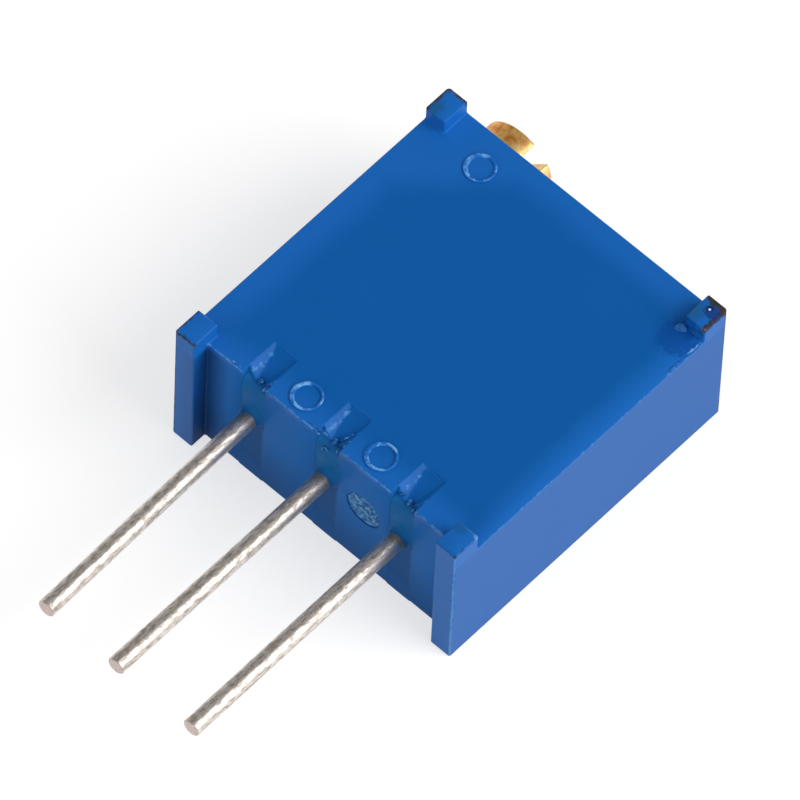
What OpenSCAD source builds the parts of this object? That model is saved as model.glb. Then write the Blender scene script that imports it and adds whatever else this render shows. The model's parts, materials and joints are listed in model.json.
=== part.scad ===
// Square multi-turn trimmer potentiometer with a slotted adjusting screw and three pins in line.
// It lies on its front face. The origin is the middle of that face: X runs along the row of pins,
// +Y points towards the screw end and +Z out of the back. All sizes are in millimetres.

/* [Body] */
// Width of the body along the row of pins
body_w = 9.53; // [9.3:0.01:11.5]
// Length of the body from the ends of the pin-side feet to the screw end
body_l = 10.03; // [9.7:0.01:12]
// Thickness of the body from the front face to the back face
body_t = 4.35; // [4.2:0.01:5.2]
// Radius of the upright corners at the screw end
corner_r = 0.1; // [0.05:0.01:0.4]
// Radius of the upright corners of the pin-side feet
foot_r = 0.06; // [0.05:0.01:0.25]
// Thickness of the two side walls
side_wall = 0.6; // [0.45:0.01:0.75]
// Thickness of the end wall that carries the screw
screw_wall = 0.8; // [0.6:0.01:1]
// Thickness of the end wall that the pins come through
pin_wall = 0.7; // [0.6:0.01:0.9]
// Height of the trimmed edge along the right side of the back
trim_h = 0.1; // [0.05:0.01:0.35]
// Width of the trimmed edge along the right side of the back
trim_w = 0.35; // [0.05:0.01:0.5]

/* [Feet] */
// Width of each foot along the row of pins
foot_w = 0.66; // [0.4:0.01:1]
// Length of each raised pad on the back
foot_l = 0.86; // [0.7:0.01:1.2]
// Height of the pads above the back face
foot_rise = 0.48; // [0.2:0.01:0.8]
// How far the pin-side feet stand out of the pin face
standoff = 0.5; // [0.3:0.01:0.65]

/* [Pins] */
// Diameter of the pin wire
pin_d = 0.51; // [0.45:0.01:0.6]
// Distance from pin to pin
pin_pitch = 2.54; // [2.3:0.01:2.7]
// Length of a pin below the feet
pin_len = 7.15; // [3:0.05:12]
// Height of the pins' axes above the front face
pin_z = 2.68; // [2.6:0.01:2.75]
// Width of the flattened inner end of a pin
paddle_w = 0.6; // [0.55:0.01:0.7]
// Thickness of the flattened inner end of a pin
paddle_t = 0.3; // [0.2:0.01:0.36]
// Depth behind the pin face at which a pin's flattened end begins
paddle_inset = 0.1; // [0.06:0.01:0.14]
// Length of a pin inside the cavity
paddle_l = 1.1; // [0.8:0.01:1.2]
// Width of the slots that the pins come through
pin_slot_w = 0.8; // [0.72:0.01:0.9]
// Height of the top of those slots above the pins' axes
pin_slot_rise = 0.72; // [0.5:0.01:0.9]
// Depth of the seal in those slots behind the pin face
seal_recess = 0.02; // [0.01:0.01:0.05]
// Depth of the relief above each slot at the back edge
relief_top = 0.3; // [0.15:0.01:0.4]
// Depth of the relief above each slot at the slot
relief_foot = 0.04; // [0.03:0.01:0.14]
// Length of the scoop in the back above each pin
scoop_l = 1.2; // [0.8:0.01:1.5]
// Depth of that scoop at the pin face
scoop_d = 0.36; // [0.2:0.01:0.39]
// Depth of that scoop at its far end
scoop_end = 0.08; // [0.02:0.01:0.15]
// Chamfer left by the cutter on a pin's tip
tip_chamfer = 0.05; // [0.02:0.01:0.1]

/* [Moulding marks] */
// Outside diameter of the ridges that the ejectors left on the back
ejector_d = 0.9; // [0.6:0.01:1.1]
// Width of those ridges
ejector_line = 0.1; // [0.04:0.01:0.15]
// Height of those ridges
ejector_rise = 0.03; // [0.01:0.01:0.06]
// Distance of the far ejector mark from the left side
ejector_side = 2.03; // [1.4:0.01:3]
// Distance of the far ejector mark from the screw end
ejector_far = 1; // [0.75:0.01:1.2]
// Distance of the two near ejector marks from the ends of the pin-side feet
ejector_near = 1.1; // [1.05:0.01:1.4]
// Diameter of the gate mark on the pin face
gate_d = 1.15; // [0.6:0.01:1.4]
// Depth of the gate mark
gate_depth = 0.03; // [0.01:0.01:0.06]
// Height of the gate mark above the front face
gate_z = 2.5; // [1.2:0.01:3]

/* [Cover] */
// Thickness of the front cover
cover_t = 0.5; // [0.4:0.01:0.55]
// Width of the ledge that the front cover seats on
cover_ledge = 0.2; // [0.1:0.01:0.25]
// Diameter of the post that the worm wheel turns on
post_d = 1.5; // [1.2:0.01:1.7]
// Height of the wheel's thrust ring above the cover
thrust_h = 0.4; // [0.3:0.01:0.42]
// Width of the wheel's thrust ring
thrust_w = 0.4; // [0.2:0.01:0.6]

/* [Screw] */
// Distance of the screw's axis from the left side
screw_side = 1.24; // [1.2:0.01:1.4]
// Distance of the screw's axis from the front face
screw_z = 1.3; // [1.25:0.01:1.35]
// Diameter of the screw's head
head_d = 2.19; // [1.9:0.01:2.3]
// How far the head stands out of the screw end
head_proud = 1.5; // [1:0.01:2]
// Chamfer of the head
head_chamfer = 0.05; // [0.02:0.01:0.2]
// Width of the driver slot
slot_w = 0.6; // [0.4:0.01:0.8]
// Depth of the driver slot
slot_d = 0.76; // [0.4:0.01:0.9]
// Turn of the driver slot about the screw's axis
slot_turn = 42; // [0:1:180]
// Diameter of the shaft in the end wall
shaft_d = 1.7; // [1.66:0.01:1.74]
// Length of the shaft's bearing, wall and boss together
bearing_l = 1.35; // [1.1:0.01:1.5]
// Wall of the bearing's boss
boss_wall = 0.3; // [0.2:0.01:0.4]
// Thickness of the O-ring
oring_t = 0.27; // [0.2:0.01:0.3]
// Thickness of the screw's retainer
retainer_t = 0.25; // [0.15:0.01:0.35]
// Diameter of the screw in the retainer's groove
retainer_groove_d = 1.1; // [0.8:0.01:1.2]
// Diameter of the screw's tail
tail_d = 0.7; // [0.5:0.01:0.75]
// Depth of the tail's pocket in the pin-side wall
tail_pocket = 0.35; // [0.2:0.01:0.4]

/* [Worm drive] */
// Outside diameter of the worm thread
worm_d = 1.6; // [1.5:0.01:1.62]
// Turns of thread on the worm
worm_turns = 6; // [4:1:7]
// Teeth on the worm wheel
wheel_teeth = 32; // [30:1:36]
// Height of a tooth above the pitch line
addendum = 0.125; // [0.1:0.005:0.15]
// Gap between a tooth's tip and the opposite root
tip_gap = 0.05; // [0.03:0.005:0.06]
// Pressure angle of the teeth
pressure_angle = 20; // [15:1:22]
// Play of the thread between the wheel's teeth
tooth_play = 0.06; // [0.05:0.01:0.1]
// Width of the wheel's toothed rim
wheel_face = 0.7; // [0.5:0.01:0.72]
// Turns of the screw from end to end
travel_turns = 25; // [10:1:25]
// Radial width of the wheel's stop
stop_w = 0.6; // [0.3:0.01:0.7]
// Half angle that the wheel's stop takes up
stop_half = 12; // [8:1:14]
// Height of the wiper's seat on the wheel
seat_h = 0.5; // [0.3:0.01:0.6]

/* [Element] */
// Thickness of the ceramic board
board_t = 0.635; // [0.5:0.005:0.7]
// Thickness of the printed films
film_t = 0.03; // [0.02:0.005:0.04]
// Radius of the middle of the resistance track
track_r = 2.55; // [2.4:0.01:2.65]
// Width of the resistance track
track_w = 0.8; // [0.5:0.01:0.9]
// Radius of the collector's disc
collector_r = 0.7; // [0.5:0.01:0.9]
// Width of the conductors to the pins
conductor_w = 0.55; // [0.3:0.01:0.7]
// Radius of the solder on each pin
solder_r = 0.45; // [0.4:0.01:0.48]
// Angle that the track runs on past the wiper's travel
track_over = 3; // [2:1:5]
// Half angle of the conductors where they land on the track's ends
landing_half = 4; // [3:1:5]

/* [Wiper] */
// Thickness of the wiper's spring strip
spring_t = 0.08; // [0.05:0.01:0.1]
// Width of the wiper
wiper_w = 1.1; // [1:0.01:1.3]
// Width of the slits between its fingers
slit_w = 0.08; // [0.05:0.01:0.12]
// Fingers at each end of the wiper
wiper_fingers = 4; // [2:1:5]
// Length of the wiper's flat middle
wiper_flat = 0.95; // [0.8:0.01:1.05]
// Radius at which the inner fingers meet the collector
inner_contact_r = 0.3; // [0.2:0.01:0.4]
// Diameter of the pegs that hold the wiper
peg_d = 0.32; // [0.25:0.01:0.36]
// Distance between those pegs
peg_pitch = 0.6; // [0.55:0.01:0.65]
// Thickness of the pegs' heads
peg_head_t = 0.1; // [0.06:0.01:0.15]

/* [Clearances] */
// Radial clearance of a shaft in its bore
run_gap = 0.03; // [0.02:0.005:0.04]
// Gap between moving faces
move_gap = 0.05; // [0.04:0.005:0.08]
// Gap round the worm wheel
wheel_gap = 0.12; // [0.08:0.01:0.2]
// Gap round pieces that drop into the housing
fit_gap = 0.03; // [0.01:0.005:0.05]
// Gap at the wiper's contacts
contact_gap = 0.02; // [0.01:0.005:0.03]
// Angle between the two stops at each end of the travel
stop_clear = 1; // [0.5:0.5:2]

/* [Hidden] */

$fn = 48;
// Cuts run past the faces that they open by this much.
past = 0.5;

// Faces of the body and of its cavity.
side_x = body_w / 2;
seat_y = -body_l / 2;
end_y = body_l / 2;
pin_face_y = seat_y + standoff;
cavity_x = side_x - side_wall;
cavity_y0 = pin_face_y + pin_wall;
cavity_y1 = end_y - screw_wall;
cavity_l = cavity_y1 - cavity_y0;
cavity_mid_y = (cavity_y0 + cavity_y1) / 2;

// The pins lie on the board's pads, and the board's back seats on the housing's back wall.
pad_z = pin_z + pin_d / 2;
board_z = pad_z + film_t;
cavity_z = board_z + board_t;
pin_slot_top = pin_z + pin_slot_rise;
seal_y = pin_face_y + seal_recess;
paddle_y = pin_face_y + paddle_inset;
pin_end_y = cavity_y0 + paddle_l;
pin_xs = [-pin_pitch, 0, pin_pitch];
scoop_half = pin_slot_w / 2;

// Screw, worm and wheel. The wheel takes up the width that the worm leaves in the cavity.
screw_x = -side_x + screw_side;
shaft_r = shaft_d / 2;
bore_r = shaft_r + run_gap;
worm_r = worm_d / 2;
worm_pitch_r = worm_r - addendum;
worm_root_r = worm_pitch_r - addendum - tip_gap;
wheel_left = screw_x + worm_pitch_r;
wheel_fit_w = (cavity_x - wheel_gap - addendum - wheel_left) / 2;
wheel_fit_l = cavity_l / 2 - wheel_gap - addendum;
wheel_pitch_r = min(wheel_fit_w, wheel_fit_l);
wheel_tip_r = wheel_pitch_r + addendum;
wheel_root_r = wheel_pitch_r - addendum - tip_gap;
wheel_x = wheel_left + wheel_pitch_r;
wheel_y = cavity_mid_y;
wheel_z0 = screw_z - wheel_face / 2;
wheel_z1 = screw_z + wheel_face / 2;
lead = 2 * PI * wheel_pitch_r / wheel_teeth;
wheel_twist = wheel_face * lead / (2 * PI * worm_pitch_r * wheel_pitch_r) * 180 / PI;
travel_half = 180 * travel_turns / wheel_teeth;
// Steps in one turn of the thread, and how far its foot sinks into the worm's root.
thread_steps = 24;
thread_sink = 0.04;

// The screw from its head inwards.
bearing_y = end_y - bearing_l;
groove_w = oring_t + move_gap;
oring_groove_r = bore_r - oring_t - contact_gap;
oring_y = end_y - bearing_l / 2;
retainer_y = bearing_y - fit_gap - retainer_t;
retainer_groove_y = retainer_y - fit_gap;
retainer_groove_l = retainer_t + 2 * fit_gap;
collar_l = retainer_groove_l;
tail_y = cavity_y0 - tail_pocket;
boss_x1 = screw_x + bore_r + boss_wall;
boss_z1 = screw_z + bore_r + boss_wall;
tunnel_r = worm_r + wheel_gap;

// Rotor: the wheel turns on the cover's post, over the thrust ring, up to the stops.
thrust_z = cover_t + thrust_h;
post_r = post_d / 2;
wheel_bore_r = post_r + run_gap;
thrust_r = post_r + thrust_w;
post_z = wheel_z1 + seat_h / 2;
seat_z = wheel_z1 + seat_h;
wiper_mid_r = (track_r + inner_contact_r) / 2;
wiper_r1 = wiper_mid_r + wiper_flat / 2;
seat_r = norm([wiper_r1, wiper_w / 2]);
stop_r1 = wheel_root_r - addendum;
stop_r0 = stop_r1 - stop_w;
stop_block_half = 180 - travel_half - stop_half - stop_clear;

// The printed pattern: the conductors land on the track's ends.
track_half = travel_half + track_over;
track_r0 = track_r - track_w / 2;
track_r1 = track_r + track_w / 2;
pad_mid_y = (cavity_y0 + pin_end_y) / 2;

// The cover's plate seats on a ledge all round the cavity's mouth.
cover_x = cavity_x + cover_ledge - fit_gap;
cover_y0 = cavity_y0 - cover_ledge + fit_gap;
cover_y1 = cavity_y1 + cover_ledge - fit_gap;

// Shared shapes

// A box given by its lowest and highest corners.
module span(low, high) {
    translate(low) cube(high - low);
}

// Rectangle with its own corner radius at the low and the high end of Y.
module plan(half_w, y0, y1, r0, r1) {
    translate([-half_w + r0, y0]) square([2 * (half_w - r0), r0]);
    translate([-half_w, y0 + r0]) square([2 * half_w, y1 - y0 - r0 - r1]);
    translate([-half_w + r1, y1 - r1]) square([2 * (half_w - r1), r1]);
    for (side = [-1, 1]) {
        translate([side * (half_w - r0), y0 + r0]) circle(r0);
        translate([side * (half_w - r1), y1 - r1]) circle(r1);
    }
}

// Places a shape drawn along Z on the screw's axis, with +Z turned to +Y.
module along_screw(y) {
    translate([screw_x, y, screw_z]) rotate([-90, 0, 0]) children();
}

// Part of a ring between two radii, half an angle to each side of a direction.
module ring_sector(r0, r1, height, middle, half) {
    rotate(middle - half) rotate_extrude(angle = 2 * half) translate([r0, 0]) square([r1 - r0, height]);
}

// Flat strip from one point to another.
module strip(from, to, width) {
    run = to - from;
    translate(from) rotate(atan2(run.y, run.x)) translate([0, -width / 2]) square([norm(run), width]);
}

// Housing

// Outline with the four pads and the two full-height feet still standing.
module housing_blank() {
    inner_x = side_x - foot_w;
    difference() {
        linear_extrude(body_t + foot_rise) plan(side_x, seat_y, end_y, foot_r, corner_r);
        span([-inner_x, seat_y - past, body_t], [inner_x, end_y + past, body_t + foot_rise + past]);
        span([-side_x - past, seat_y + foot_l, body_t],
             [side_x + past, end_y - foot_l, body_t + foot_rise + past]);
        span([-inner_x, seat_y - past, -past], [inner_x, pin_face_y, body_t + past]);
    }
}

// Sloping cut along the right edge of the back, between the two pads.
module edge_trim() {
    translate([side_x, end_y - foot_l, body_t])
        rotate([90, 0, 0])
            linear_extrude(body_l - 2 * foot_l)
                polygon([[0, -trim_h], [past, -trim_h], [past, past], [-trim_w, past], [-trim_w, 0]]);
}

// Slot through the pin-side wall, open to the front.
module pin_slot(x) {
    span([x - pin_slot_w / 2, pin_face_y - past, -past],
         [x + pin_slot_w / 2, cavity_y0 + past, pin_slot_top]);
}

// Relief in the pin face above a slot: its floor leans in towards the back edge.
module pin_relief(x) {
    translate([x - pin_slot_w / 2, pin_face_y, 0])
        rotate([90, 0, 90])
            linear_extrude(pin_slot_w)
                polygon([
                    [-past, pin_slot_top], [relief_foot, pin_slot_top], [relief_top, body_t],
                    [relief_top, body_t + past], [-past, body_t + past]
                ]);
}

// Scoop in the back above a pin: a groove with sloping sides whose floor rises to a low step.
module pin_scoop(x) {
    intersection() {
        translate([x, pin_face_y + scoop_l, body_t])
            rotate([90, 0, 0])
                linear_extrude(scoop_l + past)
                    polygon([
                        [-scoop_half, 0], [0, -scoop_half], [scoop_half, 0],
                        [scoop_half, past], [-scoop_half, past]
                    ]);
        translate([x - scoop_half, pin_face_y, body_t])
            rotate([90, 0, 90])
                linear_extrude(pin_slot_w)
                    polygon([
                        [-past, -scoop_d], [0, -scoop_d], [scoop_l, -scoop_end],
                        [scoop_l, past], [-past, past]
                    ]);
    }
}

// Ridge left standing on the back round an ejector, with its foot sunk into the wall.
module ejector_ridge(x, y) {
    foot = ejector_rise;
    translate([x, y, body_t - foot])
        rotate_extrude()
            translate([ejector_d / 2 - ejector_line, 0]) square([ejector_line, foot + ejector_rise]);
}

// Round mark on the pin face where the plastic came in.
module gate_mark() {
    translate([pin_pitch / 2, pin_face_y + gate_depth, gate_z])
        rotate([90, 0, 0]) cylinder(h = gate_depth + past, d = gate_d);
}

// Room for the working parts: the main cavity, the worm's tunnel and the cover's ledge.
module cavity() {
    span([-cavity_x, cavity_y0, -past], [cavity_x, cavity_y1, cavity_z]);
    span([screw_x - tunnel_r, cavity_y0, -past], [screw_x, cavity_y1, screw_z + tunnel_r]);
    span([-cavity_x - cover_ledge, cavity_y0 - cover_ledge, -past],
         [cavity_x + cover_ledge, cavity_y1 + cover_ledge, cover_t]);
}

// Pocket for the screw's tail, open to the front so that the cover can close it.
module tail_seat() {
    r = tail_d / 2 + run_gap;
    along_screw(tail_y) cylinder(h = tail_pocket + past, r = r);
    span([screw_x - r, tail_y, -past], [screw_x + r, cavity_y0 + past, screw_z]);
}

// Boss inside the screw end that lengthens the shaft's bearing.
module bearing_boss() {
    span([screw_x - tunnel_r, bearing_y, cover_t], [boss_x1, cavity_y1, boss_z1]);
}

module housing() {
    color([0.08, 0.36, 0.68])
    difference() {
        union() {
            difference() {
                housing_blank();
                cavity();
            }
            bearing_boss();
            for (side = [-1, 1]) ejector_ridge(side * pin_pitch / 2, seat_y + ejector_near);
            ejector_ridge(-side_x + ejector_side, end_y - ejector_far);
        }
        along_screw(bearing_y - past) cylinder(h = bearing_l + 2 * past, r = bore_r);
        tail_seat();
        edge_trim();
        for (x = pin_xs) {
            pin_slot(x);
            pin_relief(x);
            pin_scoop(x);
        }
        gate_mark();
    }
}

// Front cover with a groove under the screw, tongues under the pins, the wheel's post and the stop
module front_cover() {
    tongue_half = pin_slot_w / 2 - fit_gap;
    tail_half = tail_d / 2;
    color([0.08, 0.34, 0.64]) {
        difference() {
            span([-cover_x, cover_y0, 0], [cover_x, cover_y1, cover_t]);
            along_screw(cavity_y0) cylinder(h = cover_y1 - cavity_y0 + past, r = bore_r);
        }
        for (x = pin_xs) {
            span([x - tongue_half, pin_face_y, 0], [x + tongue_half, cavity_y0, cover_t]);
            span([x - tongue_half, seal_y, 0], [x + tongue_half, cavity_y0, pin_z - pin_d / 2]);
        }
        span([screw_x - tail_half, tail_y + fit_gap, 0],
             [screw_x + tail_half, cavity_y0, screw_z - tail_half - run_gap]);
        translate([wheel_x, wheel_y, cover_t / 2]) {
            cylinder(h = thrust_z - cover_t / 2, r = thrust_r);
            cylinder(h = post_z - cover_t / 2, r = post_r);
            ring_sector(stop_r0, stop_r1, thrust_z - cover_t / 2, -90, stop_block_half);
        }
    }
}

// Adjusting screw: slotted head, grooved shaft, worm and tail, turned from one bar

// Half thickness of the thread at a radius.
function thread_half(r) = lead / 4 - tooth_play / 4 + (worm_pitch_r - r) * tan(pressure_angle);

// Section of the thread at a step, as radius and offset along the axis, turned to its place.
function thread_ring(step) = let(
        turn = 360 * step / thread_steps,
        rise = lead * step / thread_steps,
        low = worm_root_r - thread_sink,
        section = [[low, -thread_half(low)], [worm_r, -thread_half(worm_r)],
                   [worm_r, thread_half(worm_r)], [low, thread_half(low)]]
    ) [for (p = section) [p[0] * cos(turn), p[0] * sin(turn), rise + p[1]]];

// Right-hand thread, its middle turn facing +X at height 0.
module worm_thread() {
    half_steps = round(worm_turns * thread_steps / 2);
    rings = 2 * half_steps;
    points = [for (step = [-half_steps:half_steps]) each thread_ring(step)];
    sides = [for (ring = [0:rings - 1], k = [0:3]) let(a = 4 * ring + k, b = 4 * ring + (k + 1) % 4)
        each [[a, b, b + 4], [a, b + 4, a + 4]]];
    polyhedron(points, concat([[3, 2, 1, 0]], sides, [[for (k = [0:3]) 4 * rings + k]]));
}

module adjusting_screw() {
    head_y = end_y + move_gap;
    head_top = end_y + head_proud;
    head_r = head_d / 2;
    worm_half = worm_turns * lead / 2 + lead / 2;
    collar_y = retainer_groove_y - collar_l;
    color([0.78, 0.52, 0.24])
    difference() {
        union() {
            along_screw(0) rotate_extrude() polygon([
                [0, tail_y + move_gap], [tail_d / 2, tail_y + move_gap], [tail_d / 2, wheel_y - worm_half],
                [worm_root_r, wheel_y - worm_half], [worm_root_r, collar_y], [shaft_r, collar_y],
                [shaft_r, retainer_groove_y], [retainer_groove_d / 2, retainer_groove_y],
                [retainer_groove_d / 2, retainer_groove_y + retainer_groove_l],
                [shaft_r, retainer_groove_y + retainer_groove_l], [shaft_r, oring_y - groove_w / 2],
                [oring_groove_r, oring_y - groove_w / 2], [oring_groove_r, oring_y + groove_w / 2],
                [shaft_r, oring_y + groove_w / 2], [shaft_r, head_y], [head_r, head_y],
                [head_r, head_top - head_chamfer], [head_r - head_chamfer, head_top], [0, head_top]
            ]);
            along_screw(wheel_y) worm_thread();
        }
        along_screw(head_top - slot_d)
            rotate(slot_turn) span([-slot_w / 2, -head_d, 0], [slot_w / 2, head_d, slot_d + past]);
    }
}

module screw_oring() {
    color([0.15, 0.13, 0.12])
    along_screw(oring_y) rotate_extrude() translate([oring_groove_r + oring_t / 2, 0]) circle(oring_t / 2);
}

// Retainer: a flat fork pushed in from the front over the groove of the screw
module screw_retainer() {
    fork_half = retainer_groove_d / 2 + run_gap;
    color([0.75, 0.74, 0.7])
    difference() {
        span([screw_x - tunnel_r + fit_gap, retainer_y, cover_t],
             [boss_x1, retainer_y + retainer_t, screw_z + tunnel_r - fit_gap]);
        translate([screw_x, retainer_y - past, screw_z]) {
            rotate([-90, 0, 0]) cylinder(h = retainer_t + 2 * past, r = fork_half);
            translate([-fork_half, 0, 0]) cube([2 * fork_half, retainer_t + 2 * past, boss_z1]);
        }
    }
}

// Worm wheel with slanting involute teeth, its stop, the wiper's seat and the wiper's pegs

// Involute of an angle, in degrees.
function involute(angle) = tan(angle) * 180 / PI - angle;

// Half angle of a wheel tooth at a radius.
function tooth_half(r) = let(base_r = wheel_pitch_r * cos(pressure_angle))
    90 / wheel_teeth - tooth_play / 4 / wheel_pitch_r * 180 / PI
    + involute(pressure_angle) - involute(acos(base_r / r));

function polar(r, angle) = [r * cos(angle), r * sin(angle)];

module wheel_outline() {
    radii = [wheel_root_r, wheel_pitch_r, wheel_tip_r];
    polygon([for (tooth = [0:wheel_teeth - 1]) let(mid = 180 + (tooth + 0.5) * 360 / wheel_teeth) each concat(
        [for (k = [0:2]) polar(radii[k], mid - tooth_half(radii[k]))],
        [for (k = [2:-1:0]) polar(radii[k], mid + tooth_half(radii[k]))]
    )]);
}

// Places the pegs' shapes on the wheel's seat, with the wiper pointing to +Y.
module at_pegs(z) {
    for (side = [-1, 1]) translate([side * peg_pitch / 2, wiper_mid_r, z]) children();
}

module worm_wheel() {
    color([0.9, 0.88, 0.8])
    translate([wheel_x, wheel_y, 0]) {
        difference() {
            union() {
                translate([0, 0, wheel_z0]) rotate(-wheel_twist / 2)
                    linear_extrude(wheel_face, twist = -wheel_twist, slices = 1) wheel_outline();
                translate([0, 0, screw_z]) cylinder(h = seat_z - screw_z, r = seat_r);
            }
            translate([0, 0, wheel_z0 - past])
                cylinder(h = post_z + move_gap - wheel_z0 + past, r = wheel_bore_r);
        }
        translate([0, 0, cover_t + move_gap])
            ring_sector(stop_r0, stop_r1, screw_z - cover_t - move_gap, 90, stop_half);
        at_pegs(screw_z) cylinder(h = seat_z + spring_t - screw_z, d = peg_d);
        at_pegs(seat_z + spring_t) cylinder(h = peg_head_t, d = peg_d + 2 * peg_head_t);
    }
}

// Wiper: one strip of spring metal, its ends curved up and slit into fingers
module wiper() {
    rise = pad_z - contact_gap - seat_z - spring_t;
    reach = track_r - wiper_r1;
    // Past the contact, at 1, each finger turns down again.
    wing = [for (t = [0:0.1:1.3]) [wiper_flat / 2 + reach * t, rise * (1 - cos(180 * t)) / 2]];
    last = len(wing) - 1;
    left = [for (k = [last:-1:0]) [-wing[k].x, wing[k].y]];
    upper = [for (p = concat(left, wing)) p + [0, spring_t]];
    lower = [for (k = [len(upper) - 1:-1:0]) upper[k] - [0, spring_t]];
    color([0.82, 0.72, 0.5])
    translate([wheel_x, wheel_y, 0]) difference() {
        translate([-wiper_w / 2, wiper_mid_r, seat_z])
            rotate([90, 0, 90]) linear_extrude(wiper_w) polygon(concat(upper, lower));
        for (k = [1:wiper_fingers - 1], end = [-1, 1])
            translate([
                k * wiper_w / wiper_fingers - wiper_w / 2,
                wiper_mid_r + end * (wiper_flat / 2 + 2 * reach),
                seat_z
            ])
                cube([slit_w, 4 * reach, 4 * rise], center = true);
        at_pegs(seat_z - past) cylinder(h = spring_t + 2 * past, d = peg_d);
    }
}

// Element: a ceramic board with the films printed on its front

module ceramic_board() {
    color([0.93, 0.92, 0.88])
    span([-cavity_x + fit_gap, cavity_y0 + fit_gap, board_z],
         [cavity_x - fit_gap, bearing_y - fit_gap, cavity_z]);
}

// Sets a flat shape on the board's front as a film.
module film() {
    translate([0, 0, pad_z]) linear_extrude(film_t) children();
}

// Pad under a pin, with a strip that runs to it from a point of the pattern.
module pin_pad(x, from) {
    translate([x - solder_r, cavity_y0 + fit_gap]) square([2 * solder_r, paddle_l + solder_r / 2]);
    strip(from, [x, pad_mid_y], conductor_w);
}

// Part of the ring that the outer fingers sweep.
module swept_film(middle, half) {
    translate([wheel_x, wheel_y, pad_z]) ring_sector(track_r0, track_r1, film_t, middle, half);
}

module resistance_track() {
    color([0.12, 0.12, 0.13]) swept_film(90, track_half);
}

module collector_track() {
    color([0.74, 0.73, 0.7])
    film() {
        translate([wheel_x, wheel_y]) circle(collector_r);
        pin_pad(pin_xs[1], [wheel_x, wheel_y]);
    }
}

// Conductor from one end of the track to its pin.
module end_conductor(x) {
    middle = 90 - sign(x) * (track_half + landing_half);
    color([0.74, 0.73, 0.7]) {
        swept_film(middle, landing_half);
        difference() {
            film() pin_pad(x, [wheel_x, wheel_y] + polar(track_r, middle));
            translate([wheel_x, wheel_y, pad_z - past])
                ring_sector(track_r0, track_r1, film_t + 2 * past, 90, track_half);
        }
    }
}

// Pins: round wire outside, flattened where it passes the wall and lies on its pad

module pin(x) {
    pin_r = pin_d / 2;
    wire_l = paddle_y - seat_y + pin_len;
    // Both stretches start from the place where they meet, so they join at any size.
    color([0.72, 0.7, 0.67])
    translate([x, paddle_y, pin_z]) {
        rotate([90, 0, 0]) rotate_extrude() polygon([
            [0, 0], [pin_r, 0], [pin_r, wire_l - tip_chamfer],
            [pin_r - tip_chamfer, wire_l], [0, wire_l]
        ]);
        span([-paddle_w / 2, 0, pin_r - paddle_t], [paddle_w / 2, pin_end_y - paddle_y, pin_r]);
    }
}

// Solder over a pin's inner end.
module solder(x) {
    length = paddle_l + solder_r / 4;
    color([0.66, 0.67, 0.68])
    difference() {
        translate([x, cavity_y0 + fit_gap, pad_z]) rotate([-90, 0, 0]) linear_extrude(length)
            intersection() {
                circle(solder_r);
                translate([-solder_r, 0]) square(2 * solder_r);
            }
        pin(x);
    }
}

// Resin that fills a pin's slot above the cover's tongue.
module pin_seal(x) {
    color([0.1, 0.24, 0.36])
    difference() {
        span([x - pin_slot_w / 2, seal_y, pin_z - pin_d / 2],
             [x + pin_slot_w / 2, cavity_y0, pin_slot_top]);
        pin(x);
    }
}

housing();
front_cover();
adjusting_screw();
screw_oring();
screw_retainer();
worm_wheel();
wiper();
ceramic_board();
resistance_track();
collector_track();
end_conductor(pin_xs[0]);  // end_conductor_1
end_conductor(pin_xs[2]);  // end_conductor_3
for (k = [0:2]) {
    pin(pin_xs[k]);
    solder(pin_xs[k]);
    pin_seal(pin_xs[k]);
}
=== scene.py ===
import json
import math

import bmesh
import bpy
import numpy as np
from mathutils import Matrix, Vector


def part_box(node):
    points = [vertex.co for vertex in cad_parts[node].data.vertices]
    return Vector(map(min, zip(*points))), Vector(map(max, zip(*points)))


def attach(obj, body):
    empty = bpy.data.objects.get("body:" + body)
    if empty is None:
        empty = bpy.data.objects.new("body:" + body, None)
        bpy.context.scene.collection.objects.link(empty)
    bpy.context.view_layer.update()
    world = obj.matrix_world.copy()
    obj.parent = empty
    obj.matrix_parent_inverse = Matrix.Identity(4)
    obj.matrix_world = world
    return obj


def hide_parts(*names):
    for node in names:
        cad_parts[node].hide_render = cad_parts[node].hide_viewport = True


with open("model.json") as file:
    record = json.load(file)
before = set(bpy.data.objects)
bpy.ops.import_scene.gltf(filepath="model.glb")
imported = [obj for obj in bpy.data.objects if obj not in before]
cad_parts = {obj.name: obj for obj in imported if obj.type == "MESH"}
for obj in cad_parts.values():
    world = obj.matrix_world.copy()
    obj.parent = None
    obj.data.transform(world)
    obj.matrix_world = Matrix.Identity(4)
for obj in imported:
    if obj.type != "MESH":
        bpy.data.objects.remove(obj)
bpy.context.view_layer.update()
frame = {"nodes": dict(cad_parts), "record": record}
nodes = frame["nodes"]
mounts = {m["name"]: m for m in frame["record"]["mounts"]}
mm = 0.001
samePlace = 0.0005   # millimetres; points nearer to each other are merged
onPlane = 1e-8       # metres; points nearer to a cut lie on it
flatAngle = 0.5      # degrees; edges flatter than this are joined away
sharpAngle = 25      # degrees between two faces, above which their edge is sharp
print("stage: frame loaded with", len(nodes), "nodes")

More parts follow.
